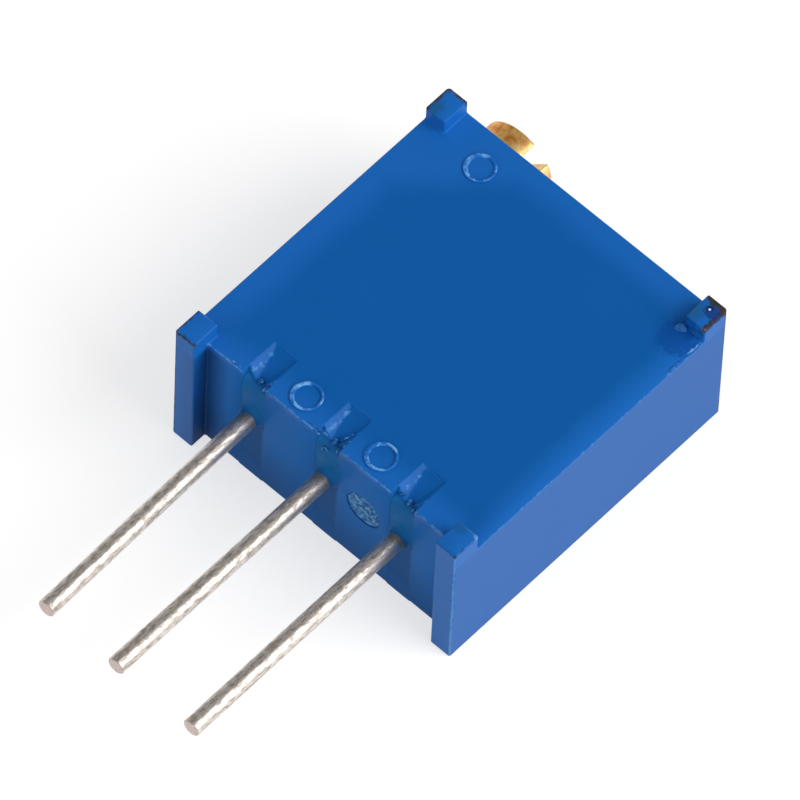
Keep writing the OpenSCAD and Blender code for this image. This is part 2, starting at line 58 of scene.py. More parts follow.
# places on the case that several pieces share, in millimetres
caseLow, caseHigh = [np.array(v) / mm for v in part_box("housing")]
case = {
    "right": caseHigh[0], "near": caseLow[1], "far": caseHigh[1], "top": caseHigh[2],
    "backZ": 4.35,          # back face, below the pads
    "trimZ": 4.25,          # upper edge of the right wall
    "pinFaceY": caseLow[1] + 0.5,
    "padSide": 0.66,        # width of a foot along the row of pins
    "padLength": 0.86,
    "slotWidth": 0.8,       # slots that the pins come through
    "slotTop": 3.4,
    "coverTop": 0.5,        # thickness of the front cover
    "scoopLength": 1.2,
    "reliefDepth": (0.04, 0.3),   # of the relief above each slot, at the slot and at the back
}
pinAxes = [np.array(mounts["pin_%d" % k]["pos_m"]) / mm for k in (1, 2, 3)]
pinRadius = mounts["pin_1"]["dims"]["r_mm"]


# mesh helpers

def ringFaces(rows, cols):
    # quads between neighbouring rings of a tube, each ring closed on itself
    r, c = np.meshgrid(np.arange(rows - 1), np.arange(cols), indexing="ij")
    a, b = r * cols + c, r * cols + (c + 1) % cols
    return np.stack([a, b, b + cols, a + cols], -1).reshape(-1, 4).tolist()


def capFaces(first, cols, pole, flip):
    # fan of triangles from one ring to a pole
    a = first + np.arange(cols)
    b = first + (np.arange(cols) + 1) % cols
    order = [b, a] if flip else [a, b]
    return np.stack([*order, np.full(cols, pole)], -1).tolist()


def loopFaces(rows, cols):
    # quads of a surface that closes on itself both ways, as a torus does
    r, c = np.meshgrid(np.arange(rows), np.arange(cols), indexing="ij")
    nextR, nextC = (r + 1) % rows, (c + 1) % cols
    corners = [r * cols + c, r * cols + nextC, nextR * cols + nextC, nextR * cols + c]
    return np.stack(corners, -1).reshape(-1, 4).tolist()


def cappedTube(rings):
    # rings of points closed by a pole in the middle of the first and of the last ring
    rows, cols = rings.shape[:2]
    points = rings.reshape(-1, 3)
    poles = np.stack([rings[0].mean(0), rings[-1].mean(0)])
    faces = ringFaces(rows, cols) + capFaces(0, cols, rows * cols, True)
    faces += capFaces((rows - 1) * cols, cols, rows * cols + 1, False)
    return np.vstack([points, poles]), faces


def joinShells(shells):
    # several closed shells as the points and faces of one mesh
    starts = np.cumsum([0] + [len(points) for points, faces in shells[:-1]])
    faces = [[v + int(start) for v in face] for (points, part), start in zip(shells, starts) for face in part]
    return np.vstack([points for points, part in shells]), faces


def uneven(seed, scale, *coords):
    # smooth noise of about -1 to 1: twelve sine waves with seeded directions and phases, finer ones weaker
    rng = np.random.default_rng(seed)
    total = 0.0
    for fineness in np.repeat((1.0, 2.1, 4.3), 4):
        heading = rng.normal(size=len(coords))
        phase = rng.uniform(0, 2 * np.pi)
        along = sum(h * c for h, c in zip(heading, coords))
        total = total + np.sin(fineness * scale * along + phase) / fineness
    return total / 4.5      # the waves seldom add up to more


def fixNormals(piece):
    work = bmesh.new()
    work.from_mesh(piece.data)
    bmesh.ops.recalc_face_normals(work, faces=work.faces)
    work.to_mesh(piece.data)
    work.free()


def makePiece(name, points, faces, look, body, slotName):
    mesh = bpy.data.meshes.new(name)
    mesh.from_pydata((np.asarray(points).reshape(-1, 3) * mm).tolist(), [], faces)
    mesh.polygons.foreach_set("use_smooth", np.ones(len(mesh.polygons), bool))
    mesh.update()
    piece = bpy.data.objects.new(name, mesh)
    bpy.context.scene.collection.objects.link(piece)
    mesh.materials.append(look)
    fixNormals(piece)
    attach(piece, body)
    return piece


def cutFlats(work, cuts):
    # a cut through each hole in a flat face, kept as a seam, so that every face stays simple
    for point, normal in cuts:
        parts = work.verts[:] + work.edges[:] + work.faces[:]
        cut = bmesh.ops.bisect_plane(work, geom=parts, dist=onPlane, plane_co=Vector(point) * mm,
                                     plane_no=normal)
        for part in cut["geom_cut"]:
            if isinstance(part, bmesh.types.BMEdge):
                part.seam = True


def cadCopy(node, name, look, body, cuts=()):
    # merged copy of a CAD node with its flat triangles joined, ready for a bevel
    mesh = nodes[node].data.copy()
    mesh.name = name
    work = bmesh.new()
    work.from_mesh(mesh)
    bmesh.ops.remove_doubles(work, verts=work.verts, dist=samePlace * mm)
    cutFlats(work, cuts)
    bmesh.ops.dissolve_limit(work, angle_limit=math.radians(flatAngle), verts=work.verts,
                             edges=work.edges, delimit={"SEAM"})
    work.to_mesh(mesh)
    work.free()
    mesh.polygons.foreach_set("use_smooth", np.ones(len(mesh.polygons), bool))
    mesh.materials.clear()
    mesh.materials.append(look)
    piece = bpy.data.objects.new(name, mesh)
    bpy.context.scene.collection.objects.link(piece)
    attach(piece, body)
    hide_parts(node)
    return piece


def edgeFacts(mesh):
    # middle of each edge in millimetres, and the angle between its two faces in degrees
    points = np.zeros(len(mesh.vertices) * 3)
    mesh.vertices.foreach_get("co", points)
    points = points.reshape(-1, 3) / mm
    ends = np.zeros(len(mesh.edges) * 2, int)
    mesh.edges.foreach_get("vertices", ends)
    middle = points[ends.reshape(-1, 2)].mean(1)
    normals = np.zeros(len(mesh.polygons) * 3)
    mesh.polygons.foreach_get("normal", normals)
    normals = normals.reshape(-1, 3)
    loopEdge = np.zeros(len(mesh.loops), int)
    mesh.loops.foreach_get("edge_index", loopEdge)
    count = np.zeros(len(mesh.polygons), int)
    mesh.polygons.foreach_get("loop_total", count)
    loopFace = np.repeat(np.arange(len(count)), count)
    order = np.argsort(loopEdge, kind="stable")
    sortedEdge, sortedFace = loopEdge[order], loopFace[order]
    first = np.searchsorted(sortedEdge, np.arange(len(mesh.edges)))
    pair = np.bincount(loopEdge, minlength=len(mesh.edges)) == 2
    angle = np.zeros(len(mesh.edges))
    i = first[pair]
    dots = (normals[sortedFace[i]] * normals[sortedFace[i + 1]]).sum(1)
    angle[pair] = np.degrees(np.arccos(np.clip(dots, -1, 1)))
    return middle, angle


def softenEdges(piece, width, weights, angles, segments=3):
    # bevel whose width at each edge is that edge's weight times the full width
    layers = piece.data.attributes
    weightLayer = layers.new("bevel_weight_edge", "FLOAT", "EDGE")
    weightLayer.data.foreach_set("value", weights.astype(np.float32))
    bevel = piece.modifiers.new("softEdges", "BEVEL")
    bevel.limit_method = "WEIGHT"
    bevel.width = width * mm
    bevel.segments = segments
    bevel.use_clamp_overlap = False
    bevel.miter_outer = "MITER_ARC"
    # edges that stay sharp split the shading, and the flat faces keep their own normals
    crease = layers.get("sharp_edge") or layers.new("sharp_edge", "BOOLEAN", "EDGE")
    crease.data.foreach_set("value", (weights == 0) & (angles > sharpAngle))
    flatten = piece.modifiers.new("flatFaces", "WEIGHTED_NORMAL")
    flatten.keep_sharp = True
    flatten.weight = 100


# shared shader groups

def newGroup(name, inputs, outputs):
    group = bpy.data.node_groups.new(name, "ShaderNodeTree")
    for kind, label, value in inputs:
        socket = group.interface.new_socket(label, in_out="INPUT", socket_type="NodeSocket" + kind)
        if value is not None:
            socket.default_value = value
    for kind, label in outputs:
        group.interface.new_socket(label, in_out="OUTPUT", socket_type="NodeSocket" + kind)
    return group, group.nodes.new("NodeGroupInput").outputs, group.nodes.new("NodeGroupOutput").inputs


def feed(tree, socket, value):
    # links another node's output to a socket, or sets the socket's own value
    if isinstance(value, bpy.types.NodeSocket):
        tree.links.new(value, socket)
    else:
        socket.default_value = value


def put(tree, kind, settings=None, **links):
    # adds a node, sets its values, and feeds its inputs by name or number
    node = tree.nodes.new("ShaderNode" + kind)
    for key, value in (settings or {}).items():
        setattr(node, key, value)
    for key, value in links.items():
        numbered = key[0] == "i" and key[1:].isdigit()
        feed(tree, node.inputs[int(key[1:]) if numbered else key.replace("_", " ")], value)
    return node


def calc(tree, operation, a, b=0.0, c=0.0, clamp=False):
    return put(tree, "Math", {"operation": operation, "use_clamp": clamp}, i0=a, i1=b, i2=c).outputs[0]


def ease(tree, value, low, high):
    # 0 below low, 1 above high, smooth between; the other way round where low is the larger
    return put(tree, "MapRange", {"interpolation_type": "SMOOTHSTEP"}, Value=value,
               From_Min=low, From_Max=high).outputs[0]


def fade(tree, value, ends, origin=0.0):
    # the same between two places in millimetres, counted from an origin
    return ease(tree, value, (origin + ends[0]) * mm, (origin + ends[1]) * mm)


def mixTone(tree, factor, a, b):
    # colour a where the factor is 0, b where it is 1
    return put(tree, "Mix", {"data_type": "RGBA"}, i0=factor, i6=a, i7=b).outputs[2]


def paint(red, green, blue):
    # colour written as it looks on screen, 0 to 255, made linear for the shader
    c = np.array([red, green, blue]) / 255
    linear = np.where(c <= 0.04045, c / 12.92, ((c + 0.055) / 1.055) ** 2.4)
    return (*linear.tolist(), 1.0)


def buildMouldGrain():
    # fine grain of a moulded or fired surface, with broad clouds of tone under it
    group, given, out = newGroup("mouldGrain", [
        ("Vector", "Vector", None), ("Float", "Grain Scale", 9000.0), ("Float", "Cloud Scale", 350.0)],
        [("Float", "Grain"), ("Float", "Cloud")])
    grain = put(group, "TexNoise", Vector=given["Vector"], Scale=given["Grain Scale"],
                Detail=4.0, Roughness=0.6)
    cloud = put(group, "TexNoise", Vector=given["Vector"], Scale=given["Cloud Scale"],
                Detail=3.0, Roughness=0.5)
    group.links.new(grain.outputs[0], out["Grain"])
    group.links.new(cloud.outputs[0], out["Cloud"])
    return group


def buildBoxRim():
    # 1 along the edges of a box, fading to 0 one band inside them; 0 away from the box
    group, given, out = newGroup("boxRim", [
        ("Vector", "Vector", None), ("Vector", "Centre", (0, 0, 0)), ("Vector", "Half", (1, 1, 1)),
        ("Float", "Band", 0.0001)], [("Float", "Rim"), ("Float", "Inside")])
    offset = put(group, "VectorMath", {"operation": "SUBTRACT"}, i0=given["Vector"], i1=given["Centre"])
    size = put(group, "VectorMath", {"operation": "ABSOLUTE"}, i0=offset.outputs[0])
    depth = put(group, "VectorMath", {"operation": "SUBTRACT"}, i0=size.outputs[0], i1=given["Half"])
    parts = put(group, "SeparateXYZ", i0=depth.outputs[0]).outputs
    low = calc(group, "MINIMUM", parts[0], parts[1])
    high = calc(group, "MAXIMUM", parts[0], parts[1])
    second = calc(group, "MAXIMUM", low, calc(group, "MINIMUM", high, parts[2]))
    largest = calc(group, "MAXIMUM", high, parts[2])
    inside = calc(group, "LESS_THAN", largest, 0.02 * mm)       # with a little to spare
    near = calc(group, "ADD", calc(group, "DIVIDE", second, given["Band"]), 1.0, clamp=True)
    group.links.new(calc(group, "MULTIPLY", near, inside), out["Rim"])
    group.links.new(inside, out["Inside"])
    return group


def buildEdgeLine():
    # 1 on a line or a point, falling to 0 one band away; Across is 0 along the line and 1 square to it
    group, given, out = newGroup("edgeLine", [
        ("Vector", "Vector", None), ("Vector", "Point", (0, 0, 0)), ("Vector", "Across", (1, 1, 1)),
        ("Float", "Band", 0.0001)], [("Float", "Near")])
    offset = put(group, "VectorMath", {"operation": "SUBTRACT"}, i0=given["Vector"], i1=given["Point"])
    square = put(group, "VectorMath", {"operation": "MULTIPLY"}, i0=offset.outputs[0], i1=given["Across"])
    far = put(group, "VectorMath", {"operation": "LENGTH"}, i0=square.outputs[0]).outputs["Value"]
    near = calc(group, "SUBTRACT", 1.0, calc(group, "DIVIDE", far, given["Band"]), clamp=True)
    group.links.new(near, out["Near"])
    return group


def buildGrime():
    # patchy dirt: noise above a limit that falls as the given mask rises
    group, given, out = newGroup("grime", [
        ("Vector", "Vector", None), ("Float", "Scale", 6000.0), ("Float", "Mask", 0.0),
        ("Float", "Amount", 0.5)], [("Float", "Dirt")])
    patch = put(group, "TexNoise", Vector=given["Vector"], Scale=given["Scale"], Detail=5.0, Roughness=0.65)
    reach = calc(group, "MULTIPLY", given["Mask"], given["Amount"])
    raised = calc(group, "ADD", patch.outputs[0], reach)
    spread = ease(group, raised, 0.78, 0.98)       # the limit, with soft rims
    group.links.new(calc(group, "MULTIPLY", spread, ease(group, given["Mask"], 0.02, 0.3)), out["Dirt"])
    return group


def buildMetalMottle():
    # dull and bright patches of a dipped or turned metal, with fine pits
    group, given, out = newGroup("metalMottle", [
        ("Vector", "Vector", None), ("Float", "Patch Scale", 5000.0), ("Float", "Pit Scale", 20000.0)],
        [("Float", "Patch"), ("Float", "Pits")])
    patch = put(group, "TexNoise", Vector=given["Vector"], Scale=given["Patch Scale"],
                Detail=6.0, Roughness=0.7)
    pits = put(group, "TexVoronoi", {"feature": "SMOOTH_F1"}, Vector=given["Vector"],
               Scale=given["Pit Scale"])
    group.links.new(patch.outputs[0], out["Patch"])
    group.links.new(pits.outputs["Distance"], out["Pits"])
    return group


groups = {
    "grain": buildMouldGrain(), "rim": buildBoxRim(), "line": buildEdgeLine(),
    "grime": buildGrime(), "mottle": buildMetalMottle(),
}


def place(tree, group, **links):
    # a copy of one of the groups, fed by the names of its inputs
    return put(tree, "Group", {"node_tree": groups[group]}, **links).outputs


def metres(point):
    return [c * mm for c in point]


def newLook(name, roughness=0.4, metallic=0.0, ior=1.45):
    look = bpy.data.materials.new(name)
    look.use_nodes = True
    tree = look.node_tree
    shader = tree.nodes["Principled BSDF"]
    shader.inputs["Roughness"].default_value = roughness
    shader.inputs["Metallic"].default_value = metallic
    shader.inputs["IOR"].default_value = ior
    where = tree.nodes.new("ShaderNodeTexCoord").outputs["Object"]
    return look, tree, shader, where


def bumpFrom(tree, shader, height, depth):
    # depth is in millimetres
    bump = put(tree, "Bump", Height=height, Distance=depth * mm, Strength=1.0)
    tree.links.new(bump.outputs[0], shader.inputs["Normal"])


print("stage: shader groups built")


# finishes

caseFinish = {
    "centre": paint(7, 94, 173), "border": paint(23, 105, 191), "wall": paint(10, 96, 176),
    "pinFace": paint(19, 104, 184), "pinFaceLow": paint(10, 86, 154), "footEnd": paint(8, 104, 188),
    # flank is a paler tone that paints light over the shaded walls of each scoop
    # tongue is painted shade on the sunken tongues below the pins
    "flank": paint(8, 106, 190), "tongue": paint(8, 80, 144), "shade": paint(3, 30, 76),
    # the dirt tone also paints shade along rounded edges
    # the pale edge tone is wear together with painted highlight
    "dirt": paint(52, 47, 44), "crust": paint(112, 104, 92), "wearAndHighlight": paint(96, 160, 220),
    "roughness": 0.38, "grainDepth": 0.004, "ior": 1.22,
    # lengths from here on are in millimetres
    "backEnds": (-0.3, -0.05),       # heights from the back face between which the walls' tone ends
    "borderEnds": (0.25, 1.15),      # distances from the edge between which the back's pale border ends
    "borderClouds": 0.9,             # how far clouds shift that border
    "rightSteep": 1.5, "cornerSteep": 0.7,      # it is narrower at the right and broader at the corner
    "cornerReach": 7.1,              # y less x where the far left corner's border begins
    "pinFaceDepth": 0.32,            # how far behind the pin face its own tone reaches
    "pinFaceEnds": (0.3, 2.6),       # heights between which the pin face grows lighter
    "tongueEnds": (0.43, 0.3),       # distances from the pin between which a tongue's painted shade comes in
    "tongueFoot": (-0.02, 0.3), "tongueHead": (0.0, -0.5),      # heights from the cover and the slot's top
    "nookBand": 0.75, "nookShare": 0.75,        # painted shade in the corner beside the left foot
    "cloudShare": 0.5, "wearAndHighlightShare": 0.6, "dirtAndShadeShare": 0.9,
    "crustEnds": (0.5, 0.66),        # grain between which dirt turns to crust
    "spotEnds": (0.3, 0.65), "spotRagged": 0.9,
    "rimBand": 0.2,                  # width of grime along a pad's outer edges
    "rimEnds": (0.1, 0.4),           # heights above the back between which that grime comes in
    "crustScale": 11000.0,
    # pads: side, end and how dirty
    "pads": ((-1, -1, 0.5), (1, -1, 0.34), (-1, 1, 0.66), (1, 1, 0.95)),
    # edges with dark lines, which are dirt and also painted shade where rounded corners turn from the light,
    # and pale lines, which are wear and also painted highlight: a point, the directions square to the edge,
    # width and amount
    "dirtAndShadeEdges": (((case["right"], case["far"], 0), (1, 1, 0), 0.13, 1.0),
                   ((-case["right"], case["near"], 0), (1, 1, 0), 0.1, 0.8),
                   ((case["right"], 0, 0), (1, 0, 1), 0.1, 1.0)),
    "edgeWearAndHighlights": (((0, case["pinFaceY"], case["backZ"]), (0, 1, 1), 0.1, 0.52),
                  ((case["right"], 0, case["trimZ"]), (1, 0, 1), 0.08, 0.36)),
    "footWearAndHighlights": (((0, case["near"] + case["padLength"], case["top"]), (0, 1, 1), 0.09, 0.5),
                 ((case["right"], case["near"], 0), (1, 1, 0), 0.08, 0.75)),
    "flankHighlights": (-0.26, 4.2, 0.24, 0.385),      # painted highlight on each scoop's lit left flank: offset from the pin, z, width and amount
    # painted shade in the mouth of each scoop: place from the pin, radius, tone and strength
    "shadedMouths": ((0.08, -4.33, 4.05), 0.32, paint(4, 58, 120), 0.75),
    # stains, grime, a painted glint and a painted shadow: place, radius, tone and strength
    "stainsGlintAndShadow": (((4.2, 4.45, 4.83), 0.55, paint(28, 96, 150), 0.7),
               ((4.55, 4.7, 4.83), 0.42, paint(22, 52, 128), 0.75),
               ((4.4, 5.0, 4.83), 0.34, paint(52, 54, 50), 0.9),
               ((4.72, 4.98, 4.83), 0.36, paint(66, 56, 54), 0.9),
               ((4.1, 4.42, 4.8), 0.14, paint(84, 84, 70), 0.8),
               ((4.42, 4.72, 4.83), 0.16, paint(12, 34, 92), 0.9),
               # a painted glint on the far right pad
               ((4.43, 4.7, 4.83), 0.055, paint(236, 244, 250), 1.0),
               ((4.62, 4.2, 4.55), 0.2, paint(40, 66, 84), 0.7),
               # painted shadow on the back before the far right pad
               ((4.2, 3.75, 4.35), 0.95, paint(4, 72, 156), 0.7),
               ((4.75, -5.0, 4.8), 0.12, paint(26, 30, 44), 0.8),
               ((-4.6, 4.35, 4.83), 0.42, paint(34, 88, 130), 0.6),
               ((4.26, -4.26, 4.83), 0.4, paint(22, 92, 146), 0.55),
               ((4.74, -4.2, 4.8), 0.15, paint(98, 160, 220), 0.8)),
}


def addCaseBack(tree, x, y, cloud):
    # the back is darkest in its sunken middle; each border, and the far left corner, has its own width
    f = caseFinish
    fromCorner = calc(tree, "SUBTRACT", f["cornerReach"] * mm, calc(tree, "SUBTRACT", y, x))
    fromRight = calc(tree, "SUBTRACT", caseHigh[0] * mm, x)
    reaches = [calc(tree, "ADD", x, caseHigh[0] * mm),
               calc(tree, "SUBTRACT", caseHigh[1] * mm, y),
               calc(tree, "MULTIPLY", fromRight, f["rightSteep"]),
               calc(tree, "SUBTRACT", y, (case["pinFaceY"] - 0.1) * mm),       # pale a little less far
               calc(tree, "MULTIPLY", fromCorner, f["cornerSteep"])]
    border = reaches[0]
    for reach in reaches[1:]:
        border = calc(tree, "MINIMUM", border, reach)
    shift = calc(tree, "MULTIPLY", calc(tree, "SUBTRACT", cloud, 0.5), f["borderClouds"] * mm)
    border = calc(tree, "ADD", border, shift)
    return mixTone(tree, fade(tree, border, f["borderEnds"]), f["border"], f["centre"])


# limits in millimetres of the mask whose paler tone paints light over the shaded scoop walls
flankLightMask = {
    "end": (-0.06, -0.02),         # from a scoop's end wall
    "side": (-0.05, -0.01),        # from the right flank
    "spill": 0.05,                 # past half the scoop's width
    "sunk": (-0.004, 0.012), "deepest": 0.4,       # below the back
    "front": (0.25, 0.5), "past": 0.02,            # behind the pin face, and behind the end wall
}


def addFlankLightMask(tree, x, y, z):
    # 1 on the shaded right flank and the end wall of each scoop, where a paler tone paints light over their
    # shade to make them as pale as the back there
    f = flankLightMask
    half = case["slotWidth"] / 2
    endY = case["pinFaceY"] + case["scoopLength"]
    flank = 0.0
    below = calc(tree, "SUBTRACT", case["backZ"] * mm, z)
    endWall = fade(tree, y, f["end"], endY)
    for axis in pinAxes:
        offset = calc(tree, "SUBTRACT", x, axis[0] * mm)
        reach = calc(tree, "ADD", offset, below)               # equals half the width on the right flank
        near = calc(tree, "LESS_THAN", calc(tree, "ABSOLUTE", offset), (half + f["spill"]) * mm)
        wall = calc(tree, "MAXIMUM", endWall, fade(tree, reach, f["side"], half))
        flank = calc(tree, "MAXIMUM", flank, calc(tree, "MULTIPLY", near, wall))
    sunk = fade(tree, below, f["sunk"])
    shallow = calc(tree, "LESS_THAN", below, f["deepest"] * mm)
    onBack = fade(tree, y, f["front"], case["pinFaceY"])
    inScoop = calc(tree, "MULTIPLY", onBack, calc(tree, "LESS_THAN", y, (endY + f["past"]) * mm))
    flank = calc(tree, "MULTIPLY", flank, inScoop)
    return calc(tree, "MULTIPLY", flank, calc(tree, "MULTIPLY", sunk, shallow))


def addTongueShadeMask(tree, x, z):
    # 1 on the sunken tongues of the cover below the pins, where painted shade darkens them, fading at their
    # sides
    f = caseFinish
    tongue = 0.0
    for axis in pinAxes:
        offset = calc(tree, "ABSOLUTE", calc(tree, "SUBTRACT", x, axis[0] * mm))
        tongue = calc(tree, "MAXIMUM", tongue, fade(tree, offset, f["tongueEnds"]))
    above = fade(tree, z, f["tongueFoot"], case["coverTop"])
    under = fade(tree, z, f["tongueHead"], case["slotTop"])
    return calc(tree, "MULTIPLY", tongue, calc(tree, "MULTIPLY", above, under))


def addPadGrime(tree, where, z):
    # dirt along the outer upper edges of the four pads, fading down their sides
    dirt = 0.0
    half = (1.2, 1.2, 1.0)             # the box's inner edges lie clear of the pad
    high = fade(tree, z, caseFinish["rimEnds"], case["backZ"])
    for side, end, amount in caseFinish["pads"]:
        centre = (side * (caseHigh[0] - half[0]), end * (caseHigh[1] - half[1]), caseHigh[2] - half[2])
        rim = place(tree, "rim", Vector=where, Centre=metres(centre), Half=metres(half),
                    Band=caseFinish["rimBand"] * mm)["Rim"]
        spots = place(tree, "grime", Vector=where, Scale=caseFinish["crustScale"],
                      Mask=calc(tree, "MULTIPLY", rim, high), Amount=amount)["Dirt"]
        dirt = calc(tree, "MAXIMUM", spots, dirt)
    return dirt


def addEdgeMarks(tree, where, edges):
    # patchy marks along a list of edges
    marks = 0.0
    for point, across, band, amount in edges:
        near = place(tree, "line", Vector=where, Point=metres(point), Across=across, Band=band * mm)["Near"]
        patches = place(tree, "grime", Vector=where, Mask=near, Amount=amount)["Dirt"]
        marks = calc(tree, "MAXIMUM", patches, marks)
    return marks


def addPinFace(tree, where, colour, between, up):
    # the recessed pin face is duller than the feet beside it and grows lighter upwards; painted shade darkens
    # the sunken tongues below the pins
    f = caseFinish
    x, y, z = put(tree, "SeparateXYZ", i0=where).outputs
    wall = calc(tree, "SUBTRACT", 1.0, up)
    shallow = calc(tree, "LESS_THAN", y, (case["pinFaceY"] + f["pinFaceDepth"]) * mm)
    onPinFace = calc(tree, "MULTIPLY", calc(tree, "MULTIPLY", between, shallow), wall)
    upright = mixTone(tree, fade(tree, z, f["pinFaceEnds"]), f["pinFaceLow"], f["pinFace"])
    colour = mixTone(tree, onPinFace, colour, upright)
    outside = calc(tree, "SUBTRACT", 1.0, between)
    footEnd = calc(tree, "MULTIPLY", outside, calc(tree, "LESS_THAN", y, (caseLow[1] + 0.03) * mm))
    colour = mixTone(tree, footEnd, colour, f["footEnd"])
    onTongueShade = calc(tree, "MULTIPLY", onPinFace, addTongueShadeMask(tree, x, z))
    return mixTone(tree, onTongueShade, colour, f["tongue"]), onPinFace


def addNookShade(tree, where, colour, up):
    # painted shade darkens the corner between the left foot and the pin face
    corner = (-caseHigh[0] + case["padSide"], case["pinFaceY"], 0)
    near = place(tree, "line", Vector=where, Point=metres(corner), Across=(1, 1, 0),
                 Band=caseFinish["nookBand"] * mm)["Near"]
    near = calc(tree, "MULTIPLY", near, caseFinish["nookShare"])
    nook = calc(tree, "MULTIPLY", near, calc(tree, "SUBTRACT", 1.0, up))
    return mixTone(tree, nook, colour, caseFinish["shade"])


def addWearAndHighlights(tree, where, colour, between):
    # pale lines along edges, part wear and part painted highlight; those of the scoops' lit flanks and of the
    # feet end where the scoops do
    f = caseFinish
    y = put(tree, "SeparateXYZ", i0=where).outputs[1]
    clear = calc(tree, "LESS_THAN", calc(tree, "ABSOLUTE", y), (caseHigh[1] - case["padLength"]) * mm)
    clear = calc(tree, "MAXIMUM", clear, between)
    dx, flankZ, band, amount = f["flankHighlights"]
    flanks = tuple(((axis[0] + dx, 0, flankZ), (1, 0, 1), band, amount) for axis in pinAxes)
    inScoops = calc(tree, "LESS_THAN", y, (case["pinFaceY"] + case["scoopLength"]) * mm)
    flankAndFootLines = calc(tree, "MULTIPLY", addEdgeMarks(tree, where, flanks + f["footWearAndHighlights"]), inScoops)
    wearAndHighlight = calc(tree, "MULTIPLY", addEdgeMarks(tree, where, f["edgeWearAndHighlights"]), clear)
    wearAndHighlight = calc(tree, "MAXIMUM", wearAndHighlight, flankAndFootLines)
    return mixTone(tree, calc(tree, "MULTIPLY", wearAndHighlight, f["wearAndHighlightShare"]), colour, f["wearAndHighlight"])


def addDirtAndEdgeShade(tree, where, colour, grain):
    # grime on the pads, and dark lines along edges that are dirt and also painted shade where rounded corners
    # turn from the light; crusted where the grain is coarse
    f = caseFinish
    z = put(tree, "SeparateXYZ", i0=where).outputs[2]
    edges = addEdgeMarks(tree, where, f["dirtAndShadeEdges"])
    dirt = calc(tree, "MAXIMUM", addPadGrime(tree, where, z), edges)
    crust = mixTone(tree, ease(tree, grain, *f["crustEnds"]), f["dirt"], f["crust"])
    return mixTone(tree, calc(tree, "MULTIPLY", dirt, f["dirtAndShadeShare"]), colour, crust), dirt


def addSpotsGlintAndShade(tree, where, colour, grain):
    # single spots with ragged rims, among them a painted glint and a painted shadow, and painted shade in the
    # mouth of each scoop
    f = caseFinish
    (dx, mouthY, mouthZ), radius, tone, strength = f["shadedMouths"]
    shadedMouths = tuple(((axis[0] + dx, mouthY, mouthZ), radius, tone, strength) for axis in pinAxes)
    coarse = calc(tree, "MULTIPLY", calc(tree, "SUBTRACT", grain, 0.5), f["spotRagged"])
    for point, radius, tone, strength in f["stainsGlintAndShadow"] + shadedMouths:
        near = place(tree, "line", Vector=where, Point=metres(point), Band=radius * mm)["Near"]
        spot = ease(tree, calc(tree, "ADD", near, coarse), *f["spotEnds"])
        colour = mixTone(tree, calc(tree, "MULTIPLY", spot, strength), colour, tone)
    return colour


def makeCaseLook():
    f = caseFinish
    look, tree, shader, where = newLook("caseBlue", ior=f["ior"])
    skin = place(tree, "grain", Vector=where)
    x, y, z = put(tree, "SeparateXYZ", i0=where).outputs
    up = fade(tree, z, f["backEnds"], case["backZ"])
    between = calc(tree, "LESS_THAN", calc(tree, "ABSOLUTE", x), (caseHigh[0] - case["padSide"]) * mm)
    colour = mixTone(tree, up, f["wall"], addCaseBack(tree, x, y, skin["Cloud"]))
    colour, onPinFace = addPinFace(tree, where, colour, between, up)
    colour = mixTone(tree, addFlankLightMask(tree, x, y, z), colour, f["flank"])
    cloudy = calc(tree, "SUBTRACT", skin["Cloud"], 0.5)
    clouds = calc(tree, "MULTIPLY", cloudy, f["cloudShare"], clamp=True)
    colour = mixTone(tree, clouds, colour, f["border"])
    colour = addNookShade(tree, where, colour, up)
    colour = addWearAndHighlights(tree, where, colour, between)
    colour, dirt = addDirtAndEdgeShade(tree, where, colour, skin["Grain"])
    colour = addSpotsGlintAndShade(tree, where, colour, skin["Grain"])
    tree.links.new(colour, shader.inputs["Base Color"])
    # grain, the pin face, dirt and the edges' painted shade make it rougher
    rough = calc(tree, "ADD", f["roughness"] - 0.05, calc(tree, "MULTIPLY", skin["Grain"], 0.1))
    rough = calc(tree, "ADD", rough, calc(tree, "MULTIPLY", onPinFace, 0.2))
    rough = calc(tree, "ADD", rough, calc(tree, "MULTIPLY", dirt, 0.3))
    tree.links.new(rough, shader.inputs["Roughness"])
    bumpFrom(tree, shader, skin["Grain"], f["grainDepth"])
    return look


def makeGrainLook(name, light, dark, roughness, metallic, grainScale, depth=0.004):
    # plain surface with two tones of grain; used for the pieces inside the case
    look, tree, shader, where = newLook(name, roughness, metallic)
    skin = place(tree, "grain", Vector=where, Grain_Scale=grainScale)
    fine = calc(tree, "MULTIPLY", skin["Grain"], 0.6)
    blend = calc(tree, "ADD", fine, calc(tree, "MULTIPLY", skin["Cloud"], 0.4))
    tree.links.new(mixTone(tree, blend, dark, light), shader.inputs["Base Color"])
    rough = calc(tree, "ADD", roughness - 0.08, calc(tree, "MULTIPLY", skin["Grain"], 0.16))
    tree.links.new(rough, shader.inputs["Roughness"])
    bumpFrom(tree, shader, skin["Grain"], depth)
    return look


resinFinish = {
    "light": paint(18, 104, 170), "dark": paint(12, 96, 160), "low": caseFinish["tongue"],
    "lowEnds": (2.5, 3.1),       # heights below which it takes the tongues' painted shade and above which it is light
    "roughness": 0.58, "depth": 0.004, "grainScale": 5000.0,
}


def makeResinLook():
    f = resinFinish
    look, tree, shader, where = newLook("sealResin", f["roughness"], ior=caseFinish["ior"])
    skin = place(tree, "grain", Vector=where, Grain_Scale=f["grainScale"])
    z = put(tree, "SeparateXYZ", i0=where).outputs[2]
    upper = mixTone(tree, skin["Grain"], f["dark"], f["light"])
    colour = mixTone(tree, fade(tree, z, f["lowEnds"]), f["low"], upper)
    tree.links.new(colour, shader.inputs["Base Color"])
    bumpFrom(tree, shader, skin["Grain"], f["depth"])
    return look


